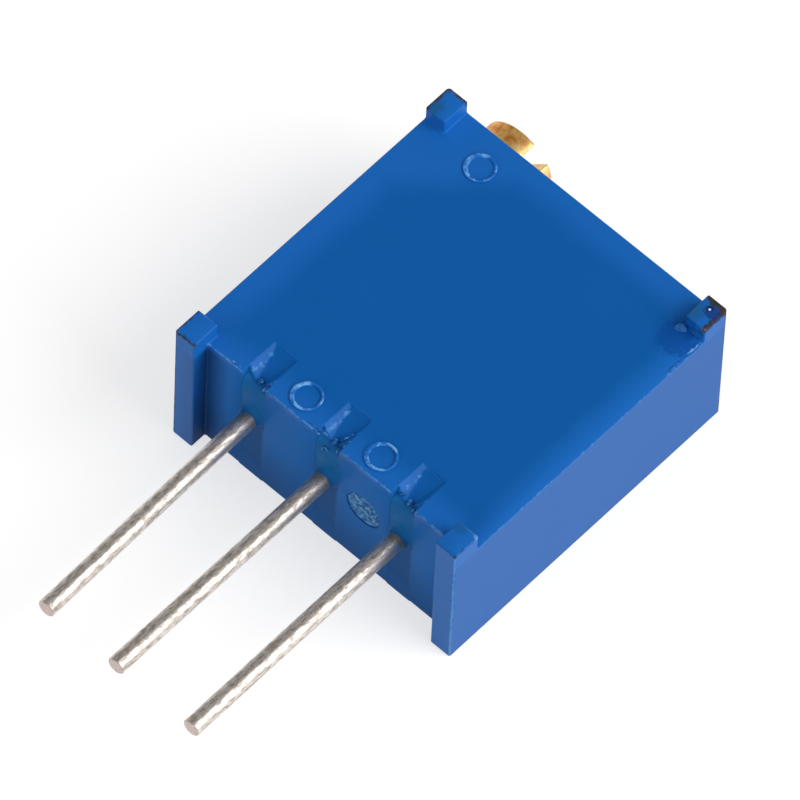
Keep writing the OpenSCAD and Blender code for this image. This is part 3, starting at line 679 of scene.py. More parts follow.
tinFinish = {
    "bright": paint(232, 224, 216), "dull": paint(172, 161, 151), "root": paint(188, 158, 120),
    "tip": paint(190, 170, 164),
    "roughness": 0.37, "depth": 0.0026,
    "stretch": (1.0, 0.28, 1.0),     # the mottle is drawn out along the wire
    "patchScale": 15000.0, "pitScale": 30000.0, "patchEnds": (0.38, 0.6),
    "rootEnds": (-4.95, -4.74),      # where the brown root begins and is full
    "rootCover": 1.25,               # less the bright patches, which stay cleaner
    "tipEnds": (0.05, 0.02), "tipShare": 0.7,      # distances from the cut end, and how far it is dull
}


def makeTinLook():
    f = tinFinish
    look, tree, shader, where = newLook("dippedTin", metallic=1.0)
    drawn = put(tree, "Mapping", Vector=where, Scale=f["stretch"]).outputs[0]
    spots = place(tree, "mottle", Vector=drawn, Patch_Scale=f["patchScale"], Pit_Scale=f["pitScale"])
    patch = ease(tree, spots["Patch"], *f["patchEnds"])
    colour = mixTone(tree, patch, f["dull"], f["bright"])
    y = put(tree, "SeparateXYZ", i0=where).outputs[1]
    cover = calc(tree, "SUBTRACT", f["rootCover"], patch)
    stain = calc(tree, "MULTIPLY", fade(tree, y, f["rootEnds"]), cover, clamp=True)
    colour = mixTone(tree, stain, colour, f["root"])
    fromEnd = calc(tree, "SUBTRACT", y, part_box("pin_1")[0].y)
    cut = calc(tree, "MULTIPLY", fade(tree, fromEnd, f["tipEnds"]), f["tipShare"])
    tree.links.new(mixTone(tree, cut, colour, f["tip"]), shader.inputs["Base Color"])
    # bright patches are smoother
    rough = calc(tree, "SUBTRACT", f["roughness"] + 0.16, calc(tree, "MULTIPLY", patch, 0.18))
    tree.links.new(rough, shader.inputs["Roughness"])
    height = calc(tree, "ADD", spots["Patch"], calc(tree, "MULTIPLY", spots["Pits"], 0.5))
    bumpFrom(tree, shader, height, f["depth"])
    return look


brassFinish = {
    # the pale tone paints a highlight along the slot's edges
    "bright": paint(255, 206, 122), "dull": paint(216, 136, 58), "wearAndHighlight": paint(255, 226, 156),
    "roughness": 0.46, "depth": 0.003,
    "lineScale": 9000.0, "patchScale": 3600.0, "patchEnds": (0.35, 0.65),
    "slotTurn": 42,                  # degrees by which the driver slot is tilted
    "glintEnds": (0.85, 0.45),        # distances from the slot's middle between which the painted highlight comes in
}


def makeBrassLook(axis):
    # turned lines run round the screw, so they repeat along its axis; a paler tone paints a highlight along
    # the slot's edges
    f = brassFinish
    look, tree, shader, where = newLook("turnedBrass", metallic=1.0)
    spots = place(tree, "mottle", Vector=where, Patch_Scale=f["patchScale"])
    along = put(tree, "SeparateXYZ", i0=where).outputs[axis]
    lines = put(tree, "TexNoise", {"noise_dimensions": "1D"}, W=along, Scale=f["lineScale"],
                Detail=3.0).outputs[0]
    patch = ease(tree, spots["Patch"], *f["patchEnds"])
    colour = mixTone(tree, patch, f["dull"], f["bright"])
    tilt = math.radians(f["slotTurn"])
    square = (-math.sin(tilt), 0.0, math.cos(tilt))
    centre = mounts["driver_slot"]["pos_m"]
    offset = put(tree, "VectorMath", {"operation": "SUBTRACT"}, i0=where, i1=centre).outputs[0]
    away = put(tree, "VectorMath", {"operation": "DOT_PRODUCT"}, i0=offset, i1=square).outputs["Value"]
    nearSlot = fade(tree, calc(tree, "ABSOLUTE", away), f["glintEnds"])
    slotGlint = calc(tree, "MULTIPLY", nearSlot, calc(tree, "ADD", calc(tree, "MULTIPLY", patch, 0.6), 0.4))
    tree.links.new(mixTone(tree, slotGlint, colour, f["wearAndHighlight"]), shader.inputs["Base Color"])
    rough = calc(tree, "ADD", f["roughness"] - 0.05, calc(tree, "MULTIPLY", lines, 0.16))
    tree.links.new(rough, shader.inputs["Roughness"])
    bumpFrom(tree, shader, lines, f["depth"])
    return look


flashFinish = {
    "roughness": 0.36,
    # ground and fleck tones, scale, where flecks begin and are full, and depth
    "torn": (paint(16, 92, 170), paint(98, 158, 214), 9000.0, 0.46, 0.68, 0.002),
    "gate": (paint(9, 82, 150), paint(90, 168, 218), 8500.0, 0.4, 0.68, 0.006),
    "rim": (paint(24, 104, 190), paint(112, 176, 236), 3000.0, 0.44, 0.6, 0.002),
    "drop": (paint(20, 88, 164), paint(54, 116, 186), 3000.0, 0.4, 0.65, 0.001),
}


def makeFlashLook(kind):
    # torn plastic: the case's blue, broken up by pale flecks
    look, tree, shader, where = newLook(kind + "Flash", ior=caseFinish["ior"])
    deep, pale, scale, begins, full, depth = flashFinish[kind]
    skin = place(tree, "grain", Vector=where, Grain_Scale=scale)
    fleck = ease(tree, skin["Grain"], begins, full)
    tree.links.new(mixTone(tree, fleck, deep, pale), shader.inputs["Base Color"])
    rough = calc(tree, "SUBTRACT", flashFinish["roughness"] + 0.1, calc(tree, "MULTIPLY", fleck, 0.15))
    tree.links.new(rough, shader.inputs["Roughness"])
    bumpFrom(tree, shader, skin["Grain"], depth)
    return look


looks = {
    "case": makeCaseLook(),
    "tin": makeTinLook(),
    "flash": makeFlashLook("torn"),
    "gate": makeFlashLook("gate"),
    "rim": makeFlashLook("rim"),
    "drop": makeFlashLook("drop"),
    "brass": makeBrassLook(1),
    "resin": makeResinLook(),
}
# inside the case: material, light and dark tones, roughness, metallic and the grain's scale
innerFinishes = {
    "rubber": ("ringRubber", (46, 43, 41), (28, 26, 25), 0.6, 0.0, 9000.0),
    "steel": ("stampedSteel", (205, 203, 198), (168, 166, 160), 0.32, 1.0, 9000.0),
    "nylon": ("wheelNylon", (238, 233, 214), (222, 215, 192), 0.48, 0.0, 9000.0),
    "spring": ("springStrip", (226, 200, 140), (196, 168, 108), 0.28, 1.0, 14000.0),
    "ceramic": ("firedCeramic", (240, 238, 230), (224, 221, 210), 0.62, 0.0, 16000.0),
    "resistor": ("resistorFilm", (44, 44, 47), (26, 26, 28), 0.5, 0.0, 14000.0),
    "silver": ("silverFilm", (206, 204, 198), (176, 173, 166), 0.42, 1.0, 14000.0),
    "solder": ("reflowedSolder", (196, 198, 200), (150, 152, 154), 0.26, 1.0, 6000.0),
}
for key, (name, light, dark, *rest) in innerFinishes.items():
    looks[key] = makeGrainLook(name, paint(*light), paint(*dark), *rest)
print("stage: finishes built,", len(looks))


# case

# widths of the softened edges in millimetres, below the 0.06 of the feet's own corners
edgeWidths = {
    "full": 0.045, "pads": 0.04, "lips": 0.035, "head": 0.04,
    "obtuse": 40, "obtuseShare": 0.5,      # edges below this angle get a share of the width
    "sideShare": 0.4,                      # and so do the side walls' upper edges
    "near": 0.02,                          # an edge this close to a face belongs to it
}
mouldMarks = {
    "ridges": ((-2.735, 4.015), (-1.27, -3.915), (1.27, -3.915)),   # centres on the back
    "ridgeRadius": 0.4, "gate": (1.27, 2.5), "gateRadius": 0.55, "gateDepth": 0.03,
}


def dressCase():
    # every sharp outer edge of the housing gets a small round; the cavity, marks and slots keep theirs
    screwX = mounts["driver_slot"]["pos_m"][0] / mm
    farRidge, leftRidge, rightRidge = mouldMarks["ridges"]
    cuts = [((x, 0, 0), (1, 0, 0)) for x in (screwX, leftRidge[0], rightRidge[0])]
    cuts += [((0, farRidge[1], 0), (0, 1, 0))]
    piece = cadCopy("housing", "caseShell", looks["case"], "case", cuts)
    middle, angle = edgeFacts(piece.data)
    x, y, z = middle.T
    w = edgeWidths
    near = w["near"]
    face, back = case["pinFaceY"], case["backZ"]
    side, far = caseHigh[:2]
    onFoot = np.abs(x) > side - case["padSide"] - near
    outer = onFoot | (y < face + near) | (y > far - near) | (z > back - 0.45)
    inner = (y > face + 0.45) & (y < far - 0.3) & (np.abs(x) < side - 0.3) & (z < back - 0.3)     # cavity
    ringed = [np.hypot(x - cx, y - cy) < mouldMarks["ridgeRadius"] + 0.1 for cx, cy in mouldMarks["ridges"]]
    gateX, gateZ = mouldMarks["gate"]
    gate = (y < face + 0.05) & (np.hypot(x - gateX, z - gateZ) < mouldMarks["gateRadius"] + 0.05)
    slotHalf, slotTop = case["slotWidth"] / 2 + 0.01, case["slotTop"] + 0.01
    slots = [(np.abs(x - axis[0]) < slotHalf) & (z < slotTop) for axis in pinAxes]
    plain = np.any(ringed, 0) & (z > back - 0.1) | gate | np.any(slots, 0) & (y < face + 0.8) & ~onFoot
    lips = (y < face + 1.3) & (y > face - 0.01) & ~onFoot & (z > 0.6)      # of scoops and reliefs
    width = np.where(onFoot & (z > back), w["pads"], w["full"])
    width = np.where(lips, w["lips"], width)
    weights = np.where((angle > sharpAngle) & outer & ~inner & ~plain, width / w["full"], 0.0)
    weights[angle < w["obtuse"]] *= w["obtuseShare"]
    sideTops = (np.abs(x) > side - near) & (np.abs(z - case["trimZ"]) < 0.03)
    weights[sideTops] *= w["sideShare"]
    softenEdges(piece, w["full"], weights, angle)


def dressCover():
    piece = cadCopy("front_cover", "frontCover", looks["case"], "case")
    middle, angle = edgeFacts(piece.data)
    rim = (middle[:, 2] < case["coverTop"] + 0.05) & (middle[:, 1] > case["pinFaceY"] + 0.4)
    weights = np.where((angle > edgeWidths["obtuse"]) & rim, 0.5, 0.0)
    softenEdges(piece, edgeWidths["full"], weights, angle, 2)


def dressScrew():
    # the head's rims and the driver slot's edges are broken by the cutter
    piece = cadCopy("adjusting_screw", "brassScrew", looks["brass"], "screw")
    middle, angle = edgeFacts(piece.data)
    head = (angle > 30) & (middle[:, 1] > caseHigh[1])
    softenEdges(piece, edgeWidths["head"], np.where(head, 1.0, 0.0), angle, 2)


dressCase()
dressCover()
dressScrew()
print("stage: case, cover and screw dressed")


# pins

pinShape = {
    "around": 40, "along": 160,
    "chamfer": 0.03,
    "tipRings": (0.5, 0.93, 1.0, 1.0),       # sizes of the cut face's rings, its rim and the chamfer's end
    "flatInset": 0.1,            # the flat begins this far behind the pin face
    "flatLength": 0.1,           # and takes this length to form
    "paddle": (0.3, 0.15),       # half width and half thickness of the flattened end
    "paddleRise": 0.105,         # height of its middle above the wire's axis
    "squareness": 3.5,           # of the flattened end's rings
    "ripple": 0.008, "rippleScale": 5.0,                # unevenness of the dipped tin
    "bends": ((0.155, 0.0), (0.0, 0.0), (0.03, 0.0)),   # sideways shift of each tip, x and z
    "bendPower": 1.1,            # above 1, the bend grows towards the tip
}


def makePin(index):
    # rings along Y: each is a superellipse whose half sizes and squareness go from round wire to flat paddle
    p = pinShape
    axis = pinAxes[index]
    tipY, endY = [v.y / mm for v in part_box("pin_%d" % (index + 1))]
    flatY = case["pinFaceY"] + p["flatInset"]
    seatY = caseLow[1]
    chamfer = p["chamfer"]
    tip = [tipY, tipY, tipY, tipY + chamfer]                          # cut face, its rim, and the chamfer
    shrink = np.array(p["tipRings"]) * (pinRadius - np.array([chamfer, chamfer, chamfer, 0]))
    wireY = np.linspace(tipY + chamfer * 1.6, flatY - 0.02, p["along"])
    formY = np.linspace(flatY, flatY + p["flatLength"], 6)
    paddleY = np.linspace(flatY + 2 * p["flatLength"], endY, 8)
    y = np.concatenate([tip, wireY, formY, paddleY])
    wire = np.full(len(y), pinRadius)
    wire[:len(tip)] = shrink
    turn = np.linspace(0, 2 * np.pi, p["around"], endpoint=False)
    flat = np.clip((y - flatY) / p["flatLength"], 0, 1)
    flat = flat * flat * (3 - 2 * flat)        # smooth at both ends
    halfX = wire * (1 - flat) + p["paddle"][0] * flat
    halfZ = wire * (1 - flat) + p["paddle"][1] * flat
    power = 1 / (1 + p["squareness"] * flat)       # 1 for a circle, less for a squarer ring
    cosT, sinT = np.cos(turn), np.sin(turn)
    ringX = np.sign(cosT) * np.abs(cosT) ** power[:, None]
    ringZ = np.sign(sinT) * np.abs(sinT) ** power[:, None]
    dents = uneven(20 + index, p["rippleScale"], y[:, None], cosT * 0.5 + 0 * y[:, None],
                   sinT * 0.5 + 0 * y[:, None])
    skin = 1 - p["ripple"] / pinRadius * np.clip(0.5 + 0.5 * dents, 0, 1) * (y < seatY)[:, None]
    away = np.clip((seatY - y) / (seatY - tipY), 0, 1) ** p["bendPower"]
    bendX, bendZ = p["bends"][index]
    px = axis[0] + halfX[:, None] * ringX * skin + (bendX * away)[:, None]
    pz = axis[2] + halfZ[:, None] * ringZ * skin + (bendZ * away + p["paddleRise"] * flat)[:, None]
    py = np.broadcast_to(y[:, None], px.shape)
    name = "pin_%d" % (index + 1)
    points, faces = cappedTube(np.stack([px, py, pz], -1))
    piece = makePiece("pinWire_%d" % (index + 1), points, faces, looks["tin"], "case", "tin")
    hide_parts(name)


for k in range(3):
    makePin(k)
print("stage: pins made")


# resin seals

sealShape = {
    "around": 72, "front": 22, "innerRadius": 0.24, "margin": 0.002,
    "crowd": 1.7,                            # above 1, the front's rings crowd towards the pin
    "creep": 0.012, "reach": 0.05,           # how far the resin creeps up the slot's walls, and how wide
    "climb": 0.2, "climbReach": 0.055,       # the same on each pin
    "climbUneven": 0.25,
    # seams of the cover: distances from the pin, depths behind the pin face, and the ramp's height
    "seamFrom": 0.28, "seamTo": 0.399, "seamFront": (0.021, 0.001), "seamBack": 0.4, "seamRise": 0.4,
    "seamRows": 12, "seamLap": 0.01, "seamBulge": 0.002,
}


def makeSeal(index):
    # the front is a sheet from the pin out to the slot's walls that creeps up both of them;
    # a ring of walls and a back close it
    s = sealShape
    low, high = [np.array(v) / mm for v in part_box("pin_seal_%d" % (index + 1))]
    axis = pinAxes[index]
    turn = np.linspace(0, 2 * np.pi, s["around"], endpoint=False)
    cosT, sinT = np.cos(turn), np.sin(turn)
    # distance from the pin's axis to the slot's rectangle in each direction
    reachX = np.where(cosT > 0, high[0] - axis[0], axis[0] - low[0]) - s["margin"]
    reachZ = np.where(sinT > 0, high[2] - axis[2], axis[2] - low[2]) - s["margin"]
    outer = np.minimum(reachX / np.maximum(np.abs(cosT), 1e-6), reachZ / np.maximum(np.abs(sinT), 1e-6))
    share = np.linspace(0, 1, s["front"])[:, None] ** s["crowd"]
    inner = np.minimum(s["innerRadius"], outer - 0.005)
    radius = inner + (outer - inner) * share
    fromPin, fromWall = radius - inner, outer - radius
    ragged = 1 + s["climbUneven"] * uneven(50 + index, 1.5, cosT, sinT)
    climb = s["climb"] * ragged * np.exp(-fromPin / s["climbReach"])
    frontY = low[1] - climb - s["creep"] * np.exp(-fromWall / s["reach"])
    radius = np.concatenate([radius, outer[None], inner[None]])
    depth = np.concatenate([frontY, np.full((1, len(turn)), high[1]), np.full((1, len(turn)), high[1])])
    points = np.stack([axis[0] + radius * cosT, depth, axis[2] + radius * sinT], -1)
    faces = loopFaces(*radius.shape)
    piece = makePiece("sealResin_%d" % (index + 1), points, faces, looks["resin"], "case", "resin")
    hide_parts("pin_seal_%d" % (index + 1))


def makeSeams():
    # resin drawn into the seams beside the cover's tongues: an upright ramp from each tongue to the pin face,
    # a flush strip beside the edge of the cover below it, and a ramp from that edge up to the tongue
    s = sealShape
    face, top = case["pinFaceY"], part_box("pin_seal_1")[0].z / mm
    inner, outer = [face + depth for depth in s["seamFront"]]
    behind = face + s["seamBack"]
    lap, rise = s["seamLap"], s["seamRise"]
    strips = ((case["coverTop"] - lap, top, inner), (lap, case["coverTop"], outer))
    shells = []
    for axis in pinAxes:
        x = axis[0] + np.linspace(-s["seamTo"], s["seamTo"], s["seamRows"])[:, None]
        z = case["coverTop"] + np.array([-lap, rise, rise, -lap]) + 0 * x
        y = np.array([outer, inner, behind, behind]) + 0 * x
        shells.append(cappedTube(np.stack([x + 0 * y, y, z], -1)))
        for side in (-1, 1):
            x0, x1 = axis[0] + side * s["seamFrom"], axis[0] + side * s["seamTo"]
            for low, high, front in strips:
                z = np.linspace(low, high, s["seamRows"])[:, None]
                bulge = s["seamBulge"] * uneven(int(axis[0] * 7) + side + 60, 3.0, z)
                x = np.array([x0, x1, x1, x0]) + 0 * z
                y = np.array([front, outer, behind, behind]) + bulge * np.array([0, 1, 0, 0])
                shells.append(cappedTube(np.stack([x, y, z + 0 * x], -1)))
    piece = makePiece("seamResin", *joinShells(shells), looks["case"], "case", "resin")
    piece.data.polygons.foreach_set("use_smooth", np.zeros(len(piece.data.polygons), bool))


reliefFill = {
    "across": 41, "up": 40, "bottom": 3.15, "top": 4.0, "sideRise": 0.12, "margin": 0.002,
    "front": 0.006, "hollow": 0.09,       # depth of its front behind the pin face, at the slot and higher up
    "dive": 0.026,                        # its lower edge lies this much deeper, inside the seal
    "curve": 1.5, "sideFlat": 0.9,        # how the hollow grows upwards, and how far it flattens at the sides
    "rollFrom": 0.72, "rollPower": 2.5,   # share of the height at which its top rolls back, and how sharply
    "uneven": 0.004, "topWave": 0.02, "lap": 0.01, "buried": 0.06,
}


def makeReliefFill():
    # resin in the relief above each slot: sections across X, each a front curve that rolls back at its top
    f = reliefFill
    foot, head = case["reliefDepth"]
    u = np.linspace(-1, 1, f["across"])[:, None]
    v = np.linspace(0, 1, f["up"])[None]
    shells = []
    for number, axis in enumerate(pinAxes):
        ripple = uneven(80 + number, 4.0, u, 2 * v)
        top = f["top"] + f["sideRise"] * u ** 2 + f["topWave"] * ripple
        z = f["bottom"] + (top - f["bottom"]) * v
        wall = foot + (head - foot) * (z - case["slotTop"]) / (case["backZ"] - case["slotTop"])
        rise = np.clip((z - case["slotTop"]) / (top - case["slotTop"]), 0, 1)
        hollow = (f["hollow"] + f["uneven"] * ripple) * rise ** f["curve"]
        front = f["front"] + hollow * (1 - f["sideFlat"] * np.abs(u) ** 5)
        roll = np.clip((rise - f["rollFrom"]) / (1 - f["rollFrom"]), 0, 1) ** f["rollPower"]
        sink = np.clip((case["slotTop"] - z) / (case["slotTop"] - f["bottom"]), 0, 1)
        depth = front + (wall + f["lap"] - front) * roll + f["dive"] * sink ** f["curve"]
        behind = np.stack([wall[:, -1] + f["buried"], np.full(len(u), foot + f["buried"])], -1)
        y = case["pinFaceY"] + np.concatenate([depth, behind], 1)
        z = np.concatenate([z, z[:, -1:], z[:, :1]], 1)
        x = axis[0] + u * (case["slotWidth"] / 2 - f["margin"]) + 0 * y
        shells.append(cappedTube(np.stack([x, y, z], -1)))
    makePiece("reliefResin", *joinShells(shells), looks["resin"], "case", "resin")


for k in range(3):
    makeSeal(k)
makeSeams()
makeReliefFill()
print("stage: seals made")


# marks and flash left by the mould

flash = {
    "ridgeWidth": 0.05, "ridgeHeight": 0.046, "ridgeUneven": 0.12,
    "heavySide": 200,            # degrees: the rim is broader there
    # beads at the upper right of each relief: offset from the pin, y, z, half height, half width
    "beads": ((0.03, -4.28, 4.09, 0.11, 0.06), (0.27, -4.4, 4.1, 0.1, 0.04)),
    "beadLean": (0.03, 0.04),    # sideways and backwards shift of a bead's ends from its middle
    # burrs: start, end, half width and height
    "burrs": (((-0.78, -4.43, 4.34), (-0.03, -4.37, 4.32), 0.035, 0.05),
              ((-0.66, -4.49, 4.3), (-0.3, -4.48, 4.3), 0.03, 0.045),
              ((1.72, -4.46, 4.33), (2.12, -4.43, 4.32), 0.035, 0.045),
              ((2.24, -4.3, 4.2), (2.42, -4.2, 4.16), 0.04, 0.05),
              ((-3.35, -4.44, 4.34), (-3.02, -4.42, 4.32), 0.03, 0.04),
              ((-2.2, -4.42, 4.25), (-2.13, -4.0, 4.34), 0.03, 0.04),
              ((0.36, -4.42, 4.25), (0.42, -3.95, 4.34), 0.03, 0.04),
              ((2.9, -4.42, 4.25), (2.96, -3.95, 4.34), 0.03, 0.04),
              ((4.69, 2.75, 4.25), (4.7, 3.5, 4.25), 0.03, 0.035),
              ((4.68, 3.6, 4.26), (4.7, 4.12, 4.25), 0.04, 0.05),
              ((0.14, -4.2, 4.14), (0.3, -3.88, 4.28), 0.03, 0.04)),
    "burrFacing": (0.0, -0.6, 0.8),          # the way that burrs and beads rise
    "burrSwell": 0.45, "burrCrust": 0.25,    # unevenness along a burr and round it
    "drop": ((3.96, 3.92, 4.34), (4.26, 4.06, 4.34), 0.17, 0.045),      # smooth drop before the far right pad
    "dropRough": 0.15,
    "gateLift": 0.004, "gateTear": 0.05,     # height of the torn face above the recess's floor
    "hookCentre": (-0.1, -4.492, 3.78), "hookRadius": 0.085, "hookThick": 0.022,
    "hookFrom": 0.2, "hookSweep": 3.9,       # radians
    "hookTall": 1.35, "hookLean": 0.12,      # it is taller than wide, and leans in with the resin
}


def lump(start, end, halfWidth, height, seed, rough=1.0, rows=26, cols=14):
    # an uneven ridge from start to end: ellipses along the line, their size a half circle times noise
    start, end = np.array(start, float), np.array(end, float)
    t = np.linspace(-0.985, 0.985, rows)[:, None, None]       # the ends stay a little blunt
    turn = np.linspace(0, 2 * np.pi, cols, endpoint=False)[None, :, None]
    along = (end - start) / np.linalg.norm(end - start)
    side = np.cross(along, flash["burrFacing"])
    side = side / np.linalg.norm(side)
    rise = np.cross(side, along)
    swell = np.sqrt(1 - t * t) * (1 + flash["burrSwell"] * rough * uneven(seed, 6.0, t))
    wrinkles = uneven(seed + 1, 2.5, 4 * t, np.cos(turn), np.sin(turn))
    crust = 1 + flash["burrCrust"] * rough * wrinkles
    offset = side * halfWidth * np.cos(turn) + rise * height * np.sin(turn)
    rings = (start + end) / 2 + (end - start) / 2 * t + offset * swell * crust
    return cappedTube(rings)


def ridge(centre, seed, rows=120, cols=14):
    # an uneven rim on the back: ellipses round a circle, broader on its heavy side
    f = flash
    turn = np.linspace(0, 2 * np.pi, rows, endpoint=False)[:, None]
    around = np.linspace(0, 2 * np.pi, cols, endpoint=False)[None]
    noise = uneven(seed, 2.2, np.cos(turn), np.sin(turn))
    heavy = 0.5 + 0.5 * np.cos(turn - math.radians(f["heavySide"]))
    chips = uneven(seed + 1, 5.0, np.cos(turn), np.sin(turn))
    width = f["ridgeWidth"] * (0.85 + 0.5 * heavy + f["ridgeUneven"] * noise)
    height = f["ridgeHeight"] * (0.95 + f["ridgeUneven"] * chips)
    radius = mouldMarks["ridgeRadius"] - 0.02 * heavy + width * np.cos(around)
    x, y = centre[0] + radius * np.cos(turn), centre[1] + radius * np.sin(turn)
    z = case["backZ"] + height * np.sin(around)
    return np.stack([x, y, z], -1).reshape(-1, 3), loopFaces(rows, cols)


def makeRidges():
    shells = [ridge(centre, 30 + k) for k, centre in enumerate(mouldMarks["ridges"])]
    makePiece("ejectorRims", *joinShells(shells), looks["rim"], "case", "blue_plastic")


def makeDrop():
    shell = lump(*flash["drop"], 90, flash["dropRough"])
    makePiece("padDrop", *shell, looks["drop"], "case", "blue_plastic")


def makeGate(rows=26, cols=72):
    # torn sprue: a disc in the gate's recess whose face is noise, closed behind
    gateX, gateZ = mouldMarks["gate"]
    share = np.linspace(0.02, 1, rows)[:, None]
    turn = np.linspace(0, 2 * np.pi, cols, endpoint=False)[None]
    radius = (mouldMarks["gateRadius"] - 0.01) * share
    x, z = gateX + radius * np.cos(turn), gateZ + radius * np.sin(turn)
    floorY = case["pinFaceY"] + mouldMarks["gateDepth"]
    torn = 0.5 + 0.5 * uneven(41, 9.0, x, z) + 0.35 * uneven(42, 22.0, x, z)
    y = floorY - flash["gateLift"] - flash["gateTear"] * np.clip(torn, 0, 1.2) * (1 - share ** 6)
    back = np.stack([x[-1], np.full(cols, floorY + 0.02), z[-1]], -1)[None]
    rings = np.concatenate([np.stack([x, y, z], -1), back])
    makePiece("gateScar", *cappedTube(rings), looks["gate"], "case", "blue_plastic")


def hook(rows=24, cols=10):
    # a curled thread of plastic: circles along a little more than half a turn, on the resin in the relief
    f = flash
    cx, cy, cz = f["hookCentre"]
    t = np.linspace(0, 1, rows)[:, None]
    turn = np.linspace(0, 2 * np.pi, cols, endpoint=False)[None]
    bend = f["hookFrom"] + f["hookSweep"] * t
    thick = f["hookThick"] * np.sqrt(np.clip(1 - (2 * t - 1) ** 4, 0.02, 1))       # thin at both ends
    radius = f["hookRadius"] + thick * np.cos(turn)
    x, z = cx + radius * np.cos(bend), cz + f["hookTall"] * radius * np.sin(bend)
    lean = f["hookLean"] * (z - cz)
    return cappedTube(np.stack([x, cy + lean + thick * np.sin(turn), z], -1))


def makeFlash():
    shells = [lump(*burr, 70 + 2 * k) for k, burr in enumerate(flash["burrs"])]
    leanX, leanY = flash["beadLean"]
    for k, axis in enumerate(pinAxes):
        for n, (dx, y, z, tall, wide) in enumerate(flash["beads"]):
            low = (axis[0] + dx - leanX, y - leanY, z - tall)
            high = (axis[0] + dx + leanX, y + leanY, z + tall)
            shells.append(lump(low, high, wide, wide, 100 + 10 * k + 2 * n))
    shells.append(hook())
    makePiece("mouldFlash", *joinShells(shells), looks["flash"], "case", "blue_plastic")


makeRidges()
makeDrop()
makeGate()
makeFlash()
print("stage: mould marks made")


# pieces that keep their CAD shape

nodeLooks = {
    "screw_oring": "rubber", "screw_retainer": "steel", "worm_wheel": "nylon", "wiper": "spring",
    "ceramic_board": "ceramic", "resistance_track": "resistor", "collector_track": "silver",
    "end_conductor_1": "silver", "end_conductor_3": "silver",
    "solder_1": "solder", "solder_2": "solder", "solder_3": "solder",
}
for node, look in nodeLooks.items():
    nodes[node].data.materials.clear()
    nodes[node].data.materials.append(looks[look])
print("stage: inner pieces finished")


# studio

studio = {
    "floorSize": 3.0, "floorTone": 0.58, "floorGlow": 0.6,
    "horizon": 0.9, "zenith": 0.5, "domeStrength": 0.62,
    # each lamp: azimuth, elevation, distance and width in metres, power in watts
    "lamps": ((112, 36, 0.6, 0.58, 3.0), (5, 24, 0.7, 0.4, 0.9)),
}


def makeFloor():
    half = studio["floorSize"] / 2
    mesh = bpy.data.meshes.new("floor")
    corners = [(-half, -half, 0), (half, -half, 0), (half, half, 0), (-half, half, 0)]
    mesh.from_pydata(corners, [], [(0, 1, 2, 3)])
    floor = bpy.data.objects.new("floor", mesh)
    bpy.context.scene.collection.objects.link(floor)
    look = bpy.data.materials.new("paleFloor")
    look.use_nodes = True
    tree = look.node_tree
    tree.nodes.clear()
    tone = (studio["floorTone"],) * 3 + (1.0,)
    matt = put(tree, "BsdfDiffuse", Color=tone)
    rays = put(tree, "LightPath").outputs
    seen = calc(tree, "MAXIMUM", rays["Is Camera Ray"],
                calc(tree, "MAXIMUM", rays["Is Glossy Ray"], rays["Is Transmission Ray"]))
    glow = put(tree, "Emission", Strength=calc(tree, "MULTIPLY", seen, studio["floorGlow"]))
    both = put(tree, "AddShader", i0=matt.outputs[0], i1=glow.outputs[0])
    put(tree, "OutputMaterial", Surface=both.outputs[0])
    mesh.materials.append(look)


def makeDome():
    # pale at the horizon, greyer overhead
    world = bpy.data.worlds.new("studioDome")
    bpy.context.scene.world = world
    world.use_nodes = True
    tree = world.node_tree
    tree.nodes.clear()
    height = put(tree, "SeparateXYZ", i0=put(tree, "TexCoord").outputs["Generated"]).outputs[2]
    rise = ease(tree, height, 0.05, 0.8)
    horizon, zenith = [(studio[k],) * 3 + (1.0,) for k in ("horizon", "zenith")]
    sky = mixTone(tree, rise, horizon, zenith)
    backdrop = put(tree, "Background", Color=sky, Strength=studio["domeStrength"])
    put(tree, "OutputWorld", Surface=backdrop.outputs[0])


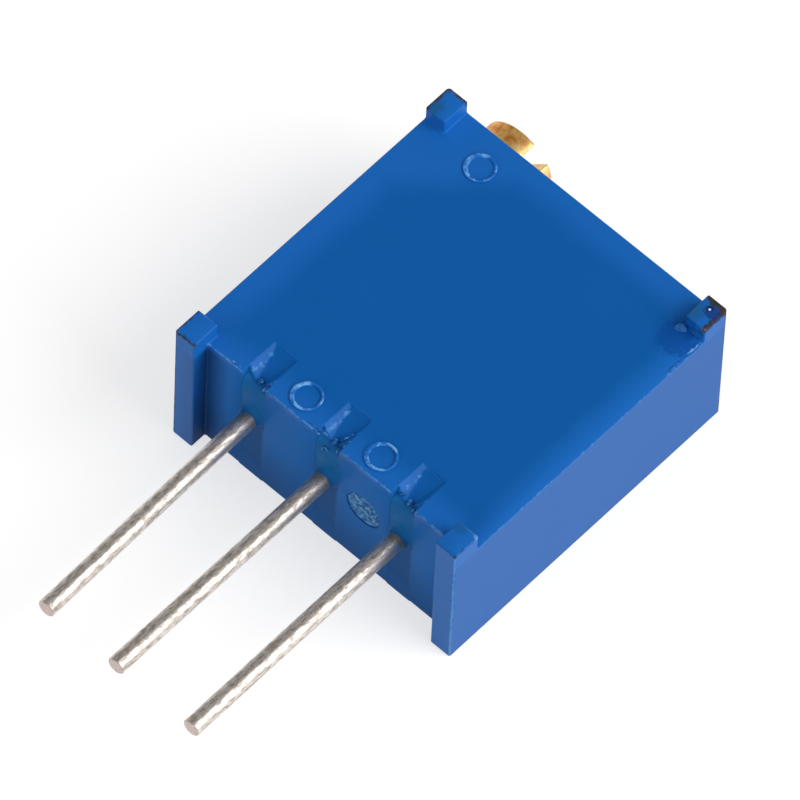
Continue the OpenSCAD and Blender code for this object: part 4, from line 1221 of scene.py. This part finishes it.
def makeLamps():
    for number, (azimuth, elevation, distance, width, power) in enumerate(studio["lamps"]):
        a, e = math.radians(azimuth), math.radians(elevation)
        toward = Vector((math.sin(a) * math.cos(e), -math.cos(a) * math.cos(e), math.sin(e)))
        lamp = bpy.data.lights.new("softbox_%d" % number, "AREA")
        lamp.shape, lamp.size, lamp.energy = "DISK", width, power
        holder = bpy.data.objects.new("softbox_%d" % number, lamp)
        holder.location = toward * distance
        holder.rotation_euler = toward.to_track_quat("Z", "Y").to_euler()
        bpy.context.scene.collection.objects.link(holder)


# the camera stands where the photo was taken from, found by fitting the case's corners
photo = {
    "azimuth": 40.571, "elevation": 58.483, "roll": 2.848, "distance": 410.33,
    "focal": 16361.7, "frame": 800,                # both in pixels
    "target": (0.0, -0.015, 2.4), "targetPixel": (448.70, 371.52),
    "sensor": 36.0,
}


def makeCamera():
    a, e, r = [math.radians(photo[k]) for k in ("azimuth", "elevation", "roll")]
    back = Vector((math.sin(a) * math.cos(e), -math.cos(a) * math.cos(e), math.sin(e)))
    level = Vector((math.cos(a), math.sin(a), 0))
    rise = back.cross(level)
    right = level * math.cos(r) + rise * math.sin(r)
    up = rise * math.cos(r) - level * math.sin(r)
    scale = photo["distance"] / photo["focal"]      # millimetres for one pixel at the target
    middle = photo["frame"] / 2
    aim = Vector(photo["target"]) - right * (photo["targetPixel"][0] - middle) * scale
    aim = aim + up * (photo["targetPixel"][1] - middle) * scale
    camera = bpy.data.cameras.new("photoCamera")
    camera.sensor_width = photo["sensor"]
    camera.lens = photo["focal"] / photo["frame"] * photo["sensor"]
    holder = bpy.data.objects.new("photoCamera", camera)
    turn = Matrix((right, up, back)).transposed().to_4x4()
    holder.matrix_world = Matrix.Translation((aim + back * photo["distance"]) * mm) @ turn
    bpy.context.scene.collection.objects.link(holder)
    bpy.context.scene.camera = holder


makeFloor()
makeDome()
makeLamps()
makeCamera()
bpy.context.scene.view_settings.view_transform = "Standard"
print("stage: studio lit")

bpy.context.view_layer.update()
